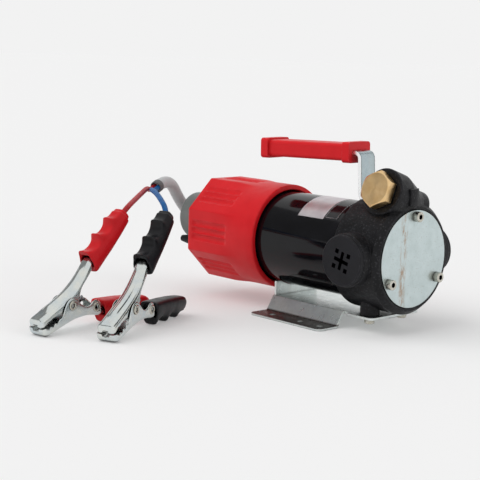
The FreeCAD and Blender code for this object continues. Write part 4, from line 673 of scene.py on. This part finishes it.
# Wraps a strip round the tube, its angles in degrees from the plate's lower edge.
def wrap(shape, radius, spots, first, last, steps):
    low = radians(plate["from"] + first)
    y, z = -radius * cos(low), radius * sin(low)
    row = [shape.verts.new((x, y, z)) for x in spots]
    edges = [shape.edges.new(pair) for pair in zip(row, row[1:])]
    bmesh.ops.spin(shape, geom=row + edges, cent=(0, 0, 0), axis=(-1, 0, 0), angle=radians(last - first),
                   steps=steps)


def makePlate(name, start, end):
    shape = bmesh.new()
    wrap(shape, plate["radius"], (start, start + plate["margin"], end - plate["margin"], end), 0,
         plate["to"] - plate["from"], plate["steps"])
    item = settle(shape, name, onAxis, "pump", core=((start + end) / 2, 0, 0))
    thicken(item, plate["thick"], offset=1)
    return item


plateField = makePlate("plateField", plate["start"], plate["join"])
plateBand = makePlate("plateBand", plate["join"], plate["end"])
print("plate laid on the tube")

# The marks in the port lids are sunk and never see light: a cross and four pits, their shade painted as flush pads of
# matt black.
marks = {"x": 0.0955, "reach": 0.058, "height": 0.0622, "turn": 14.0, "arm": 7.6, "bar": 1.5, "pit": 1.8,
         "spread": 6.3, "sunk": 0.35, "proud": 0.03}


def makeMarkShades():
    m = marks
    spots = [(0, 0, m["arm"], m["bar"]), (0, 0, m["bar"], m["arm"])]
    spots += [(a * m["spread"], b * m["spread"], m["pit"], m["pit"]) for a in (-1, 1) for b in (-1, 1)]
    made = []
    for hand, name in ((-1, "nearPortMarkShade"), (1, "farPortMarkShade")):
        shape = bmesh.new()
        for across, up, wide, high in spots:
            fresh = bmesh.ops.create_cube(shape, size=2)["verts"]
            bmesh.ops.scale(shape, vec=(wide, (m["sunk"] + m["proud"]) / 2, high), verts=fresh)
            bmesh.ops.translate(shape, vec=(across, hand * (m["proud"] - m["sunk"]) / 2, up), verts=fresh)
        place = (Matrix.Translation((m["x"], hand * m["reach"], m["height"]))
                 @ Matrix.Rotation(radians(hand * -m["turn"]), 4, "Y"))
        made.append(settle(shape, name, place, "pump", smooth=False))
    return made


# The cast lug that stands up in front of the valve case.
lug = {"low": (123.6, -13.4, 106.4), "high": (127.3, -4.2, 120.2), "round": 0.9, "roundSteps": 3}


def makeLug():
    shape = bmesh.new()
    bmesh.ops.create_cube(shape, size=1)
    low, high = Vector(lug["low"]), Vector(lug["high"])
    bmesh.ops.scale(shape, vec=high - low, verts=shape.verts)
    bmesh.ops.translate(shape, vec=(low + high) / 2, verts=shape.verts)
    bmesh.ops.bevel(shape, geom=shape.edges[:] + shape.verts[:], offset=lug["round"], segments=lug["roundSteps"],
                    affect="EDGES", profile=0.5, material=-1)
    return settle(shape, "caseLug", Matrix.Identity(4), "pump")


# A pale line is printed round the black band: stripes from x to x, and from angle to angle up the plate.
border = {"stripes": [(51.0, 51.35, 3, 61), (63.55, 63.9, 3, 61), (51.0, 63.9, 3, 3.5), (51.0, 63.9, 60.5, 61)],
          "radius": 40.95, "thick": 0.03}


def makeBorder():
    shape = bmesh.new()
    for start, end, first, last in border["stripes"]:
        wrap(shape, border["radius"], (start, end), first, last, max(2, round(last - first)))
    item = settle(shape, "plateBorder", onAxis, "pump", core=(plate["join"], 0, 0))
    thicken(item, border["thick"])
    return item


portMarkShades = makeMarkShades()
caseLug = makeLug()
plateBorder = makeBorder()
print("marks, lug and border made")


# A new material, its Principled shader and its object coordinates.
def begin(name, values):
    material = bpy.data.materials.new(name)
    tree = emptyTree(material)
    shader = add(tree, "BsdfPrincipled", values)
    add(tree, "OutputMaterial", {"Surface": shader})
    return material, shader, add(tree, "TexCoord").outputs["Object"]


# A mask of patches of a given size in millimetres: a noise, which may be stretched along an axis, turned from start
# to end where it runs from low to high.
def patches(place, millimetres, detail, low, high, start=0.0, end=1.0, rough=0.5, stretch=None):
    tree = place.id_data
    if stretch:
        place = add(tree, "Mapping", {"Scale": stretch, "Vector": place})
    cloud = add(tree, "TexNoise", {"Scale": 1000 / millimetres, "Detail": detail, "Roughness": rough,
                                   "Vector": place})
    return add(tree, "MapRange", {"From Min": low, "From Max": high, "To Min": start, "To Max": end,
                                  "Value": cloud})


# Mottles two colours in patches of a given size in millimetres.
def mottle(place, first, second, millimetres, low=0.35, high=0.65, stretch=(1, 1, 1)):
    mask = patches(place, millimetres, 3.0, low, high, rough=0.55, stretch=stretch)
    return add(place.id_data, "Mix", {"data_type": "RGBA", 0: mask, 6: first, 7: second}).outputs[2]


# Scatters specks of a given size in millimetres over what lies under them.
def speckle(place, under, speck, millimetres, detail, low, high, amount):
    mask = patches(place, millimetres, detail, low, high, end=amount)
    return add(place.id_data, "Mix", {"data_type": "RGBA", 0: mask, 6: under, 7: speck}).outputs[2]


# Edges painted lighter or darker, partly wear and partly painted highlight: where the rounded normal leaves the flat
# one, broken up by patches.
def edgeWearAndHighlight(place, under, wearAndPaintedLight, radius, amount, millimetres):
    tree = place.id_data
    rounded = add(tree, "Bevel", {"samples": 4, "Radius": radius})
    flat = add(tree, "NewGeometry").outputs["True Normal"]
    turned = add(tree, "VectorMath", {"operation": "DOT_PRODUCT", 0: rounded, 1: flat}).outputs["Value"]
    edge = add(tree, "MapRange", {"From Min": 0.995, "From Max": 0.86, "Value": turned})
    patch = patches(place, millimetres, 4.0, 0.42, 0.62, end=amount)
    mask = add(tree, "Math", {"operation": "MULTIPLY", 0: edge, 1: patch})
    return add(tree, "Mix", {"data_type": "RGBA", 0: mask, 6: under, 7: wearAndPaintedLight}).outputs[2]


# Painted shade with some grime: darkens sockets, notches and the roots of bosses by their ambient occlusion, where
# shade falls and grime gathers.
def paintedShadeAndGrime(under, dark, reach, low=0.35, high=0.9):
    tree = under.id_data
    openness = add(tree, "AmbientOcclusion", {"samples": 8, "Distance": reach}).outputs["AO"]
    amount = add(tree, "MapRange", {"From Min": low, "From Max": high, "Value": openness})
    return add(tree, "Mix", {"data_type": "RGBA", 0: amount, 6: dark, 7: under}).outputs[2]


# Rounds the drawn edges by a radius, or by none, and adds grains, each with a size and a height in millimetres and
# a detail.
def roundAndGrain(place, shader, radius, *grains):
    tree = place.id_data
    under = {"Normal": add(tree, "Bevel", {"samples": 6, "Radius": radius})} if radius else {}
    for millimetres, height, detail in grains:
        grain = add(tree, "TexNoise", {"Scale": 1000 / millimetres, "Detail": detail, "Vector": place})
        under |= {"Strength": 1.0, "Distance": height / 1000, "Height": grain}
        under = {"Normal": add(tree, "Bump", under)}
    plug(under["Normal"], shader, "Normal")


def varyRoughness(place, shader, rough, millimetres, stretch=(1, 1, 1)):
    plug(patches(place, millimetres, 3.0, 0.3, 0.7, *rough, stretch=stretch), shader, "Roughness")


# Two mottled colours, an uneven roughness, rounded edges and one grain.
def plainSkin(name, values, tints, size, rough, roughSize, radius, grain, stretch=(1, 1, 1), brushed=(1, 1, 1)):
    material, shader, place = begin(name, values)
    plug(mottle(place, *tints, size, stretch=stretch), shader, "Base Color")
    varyRoughness(place, shader, rough, roughSize, brushed)
    roundAndGrain(place, shader, radius, grain)
    return material


# Cast iron, sand cast and sprayed satin black: a pebbled skin, soft edges, painted glints as bright specks where
# grains show, painted highlight and wear on edges, painted shade in recesses.
castPaintSkin = {"paint": ("#0E0E10", "#161619"), "speck": "#4E4E52", "specks": 0.42, "wearAndPaintedLight": "#3C3C41",
                 "shadeAndGrime": "#070708", "rough": (0.36, 0.5)}


def sandCastBlackPaint():
    skin = castPaintSkin
    material, shader, place = begin("sandCastBlackPaint", {"Specular IOR Level": 0.2})
    body = mottle(place, *skin["paint"], 14)
    speckled = speckle(place, body, skin["speck"], 1.5, 2.0, 0.57, 0.69, skin["specks"])
    edged = edgeWearAndHighlight(place, speckled, skin["wearAndPaintedLight"], 0.0012, 0.6, 3)
    plug(paintedShadeAndGrime(edged, skin["shadeAndGrime"], 0.006), shader, "Base Color")
    varyRoughness(place, shader, skin["rough"], 5)
    roundAndGrain(place, shader, 0.0014, (2.6, 0.22, 3.0), (1.1, 0.2, 2.0))
    return material


# Bands on the zinc, in metres: how a streak's strip fades out from its middle, how the painted dark reflection on the
# flat top of a foot starts and ends about its height, and the colours in from a sheared edge: a painted highlight, a
# painted dark line and then the bare metal.
zincBands = {
    "strip": (0.005, 0.001),
    "top": ((-0.0004, -0.0001), (0.0016, 0.0004)),
    "sheared": (("#4E585C", 0.0014, 0.0007, 0.75), ("#FAFCFC", 0.0004, 0.0001, 1.0)),
}


# Keeps a mask to one strip along x, at a given y.
def heldToStrip(place, mask, middle):
    tree = place.id_data
    across = add(tree, "SeparateXYZ", {0: place}).outputs[1]
    away = add(tree, "Math", {"operation": "SUBTRACT", 0: across, 1: middle})
    away = add(tree, "Math", {"operation": "ABSOLUTE", 0: away})
    far, near = zincBands["strip"]
    inside = add(tree, "MapRange", {"From Min": far, "From Max": near, "Value": away})
    return add(tree, "Math", {"operation": "MULTIPLY", 0: mask, 1: inside})


# Painted dark reflection: a dark colour on whatever lies flat at one height.
def darkReflectionOnTop(place, under, dark, top):
    tree = place.id_data
    height = add(tree, "SeparateXYZ", {0: place}).outputs[2]
    above, below = (add(tree, "MapRange", {"From Min": top + low, "From Max": top + high, "Value": height})
                    for low, high in zincBands["top"])
    flat = add(tree, "Math", {"operation": "MULTIPLY", 0: above, 1: below})
    return add(tree, "Mix", {"data_type": "RGBA", 0: flat, 6: under, 7: dark}).outputs[2]


# Painted highlights along sheared edges, each with a painted dark line beside it, on a strip of a half width whose
# middle crosses the x axis at a given x and turns away from it by an angle.
def edgeHighlightStrip(place, under, middle, turn, half):
    tree = place.id_data
    across = (-sin(turn), cos(turn), 0.0)
    spot = add(tree, "VectorMath", {"operation": "DOT_PRODUCT", 0: place, 1: across}).outputs["Value"]
    away = add(tree, "Math", {"operation": "ADD", 0: spot, 1: middle * sin(turn)})
    away = add(tree, "Math", {"operation": "ABSOLUTE", 0: away})
    for shade, start, end, amount in zincBands["sheared"]:
        band = add(tree, "MapRange", {"From Min": half - start, "From Max": half - end, "To Max": amount,
                                      "Value": away})
        under = add(tree, "Mix", {"data_type": "RGBA", 0: band, 6: under, 7: shade}).outputs[2]
    return under


# Rolled steel sheet, zinc plated and blue passivated: pale bluish, specked, with faint brown streaks along the
# rolling, edges painted paler from wear and highlight, and painted shade in its folds. A streak may be held to one
# strip of given y, in metres. A flat top may be painted darker, at a given colour and height, as a dark reflection;
# and a strip, of given middle, turn and half width, may carry a painted highlight on each sheared edge with a painted
# dark line beside it.
def zincPlatedSheet(name, tints, stain, streak, amount, rough, radius=0.0005, strip=None, speck=0.15,
                    edge="#F4F4EC", creaseShade=("#4E504E", 0.004, 0.2, 0.7), grain=0.012, wearAndPaintedLight=None, edgeHighlight=None):
    material, shader, place = begin(name, {"Metallic": 1.0})
    body = mottle(place, *tints, 9, 0.3, 0.7)
    streaks = patches(place, 5.5, 6.0, 0.47, 0.62, end=amount, rough=0.7, stretch=streak)
    if strip is not None:
        streaks = heldToStrip(place, streaks, strip)
    stained = add(place.id_data, "Mix", {"data_type": "RGBA", 0: streaks, 6: body, 7: stain}).outputs[2]
    plain = speckle(place, stained, "#98948A", 1.3, 3.0, 0.6, 0.72, speck)
    if wearAndPaintedLight:
        plain = darkReflectionOnTop(place, plain, *wearAndPaintedLight)
    if edgeHighlight:
        plain = edgeHighlightStrip(place, plain, *edgeHighlight)
    edged = edgeWearAndHighlight(place, plain, edge, radius, 0.9, 4)
    plug(paintedShadeAndGrime(edged, *creaseShade), shader, "Base Color")
    varyRoughness(place, shader, rough, 6, streak)
    roundAndGrain(place, shader, radius, (1.2, grain, 3.0))
    return material


# Turned steel, nickel plated: warm bright metal, with sockets darkened by painted shade.
def platedFastener():
    material, shader, place = begin("platedFastener", {"Metallic": 1.0})
    body = mottle(place, "#BAB6A8", "#D2D0C8", 2.5)
    plug(paintedShadeAndGrime(body, "#1C100C", 0.0045, 0.42, 0.9), shader, "Base Color")
    varyRoughness(place, shader, (0.2, 0.36), 2)
    roundAndGrain(place, shader, 0.0004, (0.6, 0.01, 2.0))
    return material


# Brass bar, turned and left bare: satin, and brushed round its tilted axis, so light fans out from the centre; its
# edges are painted paler, partly wear and partly painted highlight.
brassPlug = {"tints": ("#F2CF9A", "#E6C088"), "wearAndPaintedLight": "#EBD8AE", "centre": (0.1065, -0.025, 0.1172),
             "axis": (0.0, -0.95106, 0.30902)}


def turnedBrass():
    material, shader, place = begin("turnedBrass", {"Metallic": 1.0, "Anisotropic": 0.75})
    body = mottle(place, *brassPlug["tints"], 7)
    plug(edgeWearAndHighlight(place, body, brassPlug["wearAndPaintedLight"], 0.0005, 0.9, 3), shader, "Base Color")
    varyRoughness(place, shader, (0.3, 0.42), 4)
    tree = place.id_data
    out = add(tree, "VectorMath", {"operation": "SUBTRACT", 0: place, 1: brassPlug["centre"]})
    turned = add(tree, "VectorMath", {"operation": "CROSS_PRODUCT", 0: brassPlug["axis"], 1: out})
    brushed = add(tree, "VectorMath", {"operation": "NORMALIZE", 0: turned})
    plug(brushed, shader, "Tangent")
    roundAndGrain(place, shader, 0.0003)
    return material


# Injection moulded plastic: even colour, a fine spark-eroded grain, edges painted paler from wear and highlight, and
# corners darkened a little by painted shade.
def mouldedPlastic(name, tints, wearAndPaintedLight, rough=(0.34, 0.46), radius=0.0007, grain=0.02, shine=0.35, recessShade=None):
    material, shader, place = begin(name, {"Specular IOR Level": shine})
    body = mottle(place, *tints, 16, 0.3, 0.7)
    edged = edgeWearAndHighlight(place, body, wearAndPaintedLight, radius, 0.6, 2.5)
    if recessShade:
        edged = paintedShadeAndGrime(edged, recessShade, 0.003, 0.3, 0.8)
    plug(edged, shader, "Base Color")
    varyRoughness(place, shader, rough, 7)
    roundAndGrain(place, shader, radius, (0.9, grain, 2.0))
    return material


# Machined or drawn steel and iron: grey, with fine tool marks round the axis.
def machinedSteel(name, tints, rough):
    return plainSkin(name, {"Metallic": 1.0}, tints, 3, rough, 1.5, 0.0003, (0.7, 0.008, 2.0), (4, 1, 1), (6, 1, 1))


# Pressed carbon and sintered ferrite: dull dark grey, slightly speckled.
def pressedPowder(name, tints, metallic):
    return plainSkin(name, {"Metallic": metallic}, tints, 0.8, (0.5, 0.75), 2, 0.0003, (0.5, 0.02, 2.0))


# Enamelled copper wire, wound and varnished: amber strands, their distance and height in millimetres.
windings = {"tints": ("#7A3B1C", "#C0703A"), "pitch": 0.8, "height": 0.2}


def woundCopper():
    material, shader, place = begin("woundCopper", {"Metallic": 0.7})
    tree, (dark, light) = place.id_data, windings["tints"]
    strands = add(tree, "TexWave", {"bands_direction": "DIAGONAL", "Scale": 1000 / windings["pitch"] / tau,
                                    "Distortion": 1.5, "Detail": 2.0, "Vector": place}).outputs["Fac"]
    body = add(tree, "Mix", {"data_type": "RGBA", 0: strands, 6: dark, 7: light}).outputs[2]
    plug(body, shader, "Base Color")
    varyRoughness(place, shader, (0.3, 0.5), 3)
    bump = add(tree, "Bump", {"Strength": 1.0, "Distance": windings["height"] / 1000, "Height": strands})
    plug(bump, shader, "Normal")
    return material


# Soft vinyl, extruded over copper strands: smooth and slightly glossy, with a low soft grain.
def extrudedVinyl(name, tints, rough):
    material, shader, place = begin(name, {"Specular IOR Level": 0.25})
    plug(mottle(place, *tints, 9, 0.3, 0.7), shader, "Base Color")
    varyRoughness(place, shader, rough, 5)
    roundAndGrain(place, shader, None, (1.4, 0.03, 2.0))
    return material


castPaint = sandCastBlackPaint()
zincDisc = zincPlatedSheet("zincPlatedDisc", ("#C2CFCF", "#CEDADB"), "#A07448", streak=(1, 1.6, 0.5), amount=0.9,
                           rough=(0.3, 0.42), strip=-0.0135, speck=0.4)
# the bracket's flat foot top is painted dark as a reflection
zincBracket = zincPlatedSheet("zincPlatedBracket", ("#D4DBDB", "#E2E7E4"), "#A09C8C", streak=(1, 1, 0.4),
                              amount=0.12, rough=(0.26, 0.34), speck=0.06, grain=0.005, wearAndPaintedLight=("#5C5653", 0.002))
# the strap carries a painted highlight with a painted dark line along its sheared edge
zincStrap = zincPlatedSheet("zincPlatedStrap", ("#A8B7BC", "#B8C6CA"), "#A89C88", streak=(1, 1, 0.2), amount=0.12,
                            rough=(0.22, 0.34), edge="#F0F4F4", edgeHighlight=(0.0805, radians(5.5), 0.01))
# the jaws' folds and bead are darkened by painted shade
zincJaw = zincPlatedSheet("zincPlatedJaw", ("#CAD4D8", "#DEE0DA"), "#C4BCA4", streak=(1, 1, 1), amount=0.05,
                          rough=(0.14, 0.26), radius=0.0003, speck=0.05, creaseShade=("#3C3E3D", 0.0026, 0.42, 0.8))
fastener = platedFastener()
brass = turnedBrass()
# Nitrile rubber, moulded: matt black with a faint bloom.
rubber = plainSkin("nitrileRubber", {"Specular IOR Level": 0.3}, ("#18181A", "#242427"), 5, (0.6, 0.8), 4, 0.0003,
                   (0.8, 0.03, 2.0))
portPlastic = mouldedPlastic("blackPortPlastic", ("#17171A", "#1E1E22"), "#66666A", rough=(0.4, 0.52),
                             radius=0.0005, shine=0.2, recessShade="#050506")
steel = machinedSteel("machinedSteel", ("#8E9094", "#A9ABAF"), (0.25, 0.45))
springSteel = machinedSteel("springSteel", ("#7E8084", "#9A9CA0"), (0.3, 0.45))
rotorIron = machinedSteel("groundIron", ("#77787B", "#8F9093"), (0.35, 0.5))
carbon = pressedPowder("pressedCarbon", ("#232324", "#303032"), 0.2)
bellMetal = machinedSteel("castAluminium", ("#A8AAAD", "#BCBEC1"), (0.4, 0.6))
# Rolled steel tube, gloss black enamel: smooth with a slight orange peel.
enamel = plainSkin("glossBlackEnamel", {"Specular IOR Level": 0.25}, ("#09090C", "#0F0F13"), 22, (0.06, 0.13), 11,
                   0.0006, (4.0, 0.008, 1.0))
ferrite = pressedPowder("sinteredFerrite", ("#2C2B2D", "#38373A"), 0.1)
copper = woundCopper()
holderPlastic = mouldedPlastic("brownPhenolic", ("#4A3628", "#5A4432"), "#6B5340")
# the cap's ridges and lip are painted paler as highlights, and its recesses darker as painted shade
redPlastic = mouldedPlastic("redPlastic", ("#D0131C", "#D81720"), "#F0686C", rough=(0.36, 0.46), shine=0.25,
                            recessShade="#B80208")
greyPlastic = mouldedPlastic("greyPlastic", ("#686C6A", "#737775"), "#8A8E8C")
blackPlastic = mouldedPlastic("blackPlastic", ("#0B0B0D", "#111114"), "#202024", rough=(0.4, 0.5), shine=0.12)
redSleeve = mouldedPlastic("redVinylSleeve", ("#C0111A", "#CA161F"), "#DC444A", rough=(0.36, 0.48), radius=0.0009,
                           grain=0.03, shine=0.25, recessShade="#5A0206")
blackSleeve = mouldedPlastic("blackVinylSleeve", ("#0F0F12", "#151519"), "#34343A", radius=0.0009, grain=0.03,
                             shine=0.25, recessShade="#060607")
# painted shade: matt black pads for the lids' sunk marks
markShade = mouldedPlastic("portMarkShade", ("#010101", "#020203"), "#040405", rough=(0.8, 0.9), shine=0.0)
greySheath = extrudedVinyl("greyVinylSheath", ("#B2B3B4", "#BEBFC0"), (0.3, 0.42))
cutSheath = extrudedVinyl("cutVinylEnd", ("#5A5B5C", "#6C6D6E"), (0.45, 0.6))
redInsulation = extrudedVinyl("redVinylInsulation", ("#A0141B", "#AC1C23"), (0.42, 0.54))
blueInsulation = extrudedVinyl("blueVinylInsulation", ("#004C86", "#005A98"), (0.46, 0.58))
# Metallised polyester film: silver, slightly pink, with the soft unevenness of a label stuck on by hand.
silverFilm = plainSkin("platedFilm", {"Metallic": 0.75}, ("#C9C3C7", "#D8D3D6"), 12, (0.3, 0.42), 9, 0.0002,
                       (7.0, 0.02, 1.0))
blackFilm = mouldedPlastic("blackFilm", ("#0E0E11", "#131317"), "#1E1E22", rough=(0.12, 0.2), radius=0.0002,
                           grain=0.004)

# What each node of the frame is made of.
finishes = (
    (castPaint, "pump_housing"), (zincDisc, "front_plate"), (zincBracket, "bracket"), (zincStrap, "handle_strap"),
    (fastener, "deck_bolts plate_screws strap_screw tie_bolts cap_screws black_rivet red_rivet"),
    (brass, "bypass_plug commutator"), (rubber, "plate_gasket bypass_seal shaft_seal"),
    (portPlastic, "near_port_plug far_port_plug"),
    (steel, "bypass_poppet motor_shaft drive_key front_bearing rear_bearing"),
    (springSteel, "bypass_spring brush_springs black_spring red_spring"),
    (rotorIron, "rotor armature_core"),
    (carbon, "vane_1 vane_2 vane_3 vane_4 vane_5 brushes"),
    (bellMetal, "front_bell rear_bell"), (enamel, "motor_tube"), (ferrite, "magnets"), (copper, "windings"),
    (holderPlastic, "brush_holder"), (redPlastic, "rear_cap handle_grip"),
    (greyPlastic, "terminal_cover cable_gland"),
    (blackPlastic, "switch_body switch_bezel switch_lever"),
    (zincJaw, "black_upper_jaw black_lower_jaw red_upper_jaw red_lower_jaw"),
    (blackSleeve, "black_upper_grip black_lower_grip"), (redSleeve, "red_upper_grip red_lower_grip"),
)
# And each piece that is made here.
pieceFinishes = (
    (greySheath, [sheath]), (redInsulation, [redWire]), (blueInsulation, [blueWire]), (rubber, [strainRelief]),
    (cutSheath, [sheathEnd]), (zincJaw, clampPieces["jaw"]), (fastener, clampPieces["fastening"]),
    (redSleeve, clampPieces["red"]), (blackSleeve, clampPieces["black"]), (redPlastic, [capShell]),
    (silverFilm, [plateField, plateBorder]), (blackFilm, [plateBand]), (markShade, portMarkShades), (castPaint, [caseLug]),
)


def dress():
    for material, names in finishes:
        for name in names.split():
            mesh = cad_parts[name].data
            mesh.materials.clear()
            mesh.materials.append(material)
    for material, pieces in pieceFinishes:
        for piece in pieces:
            piece.data.materials.append(material)


dress()
print("materials on")
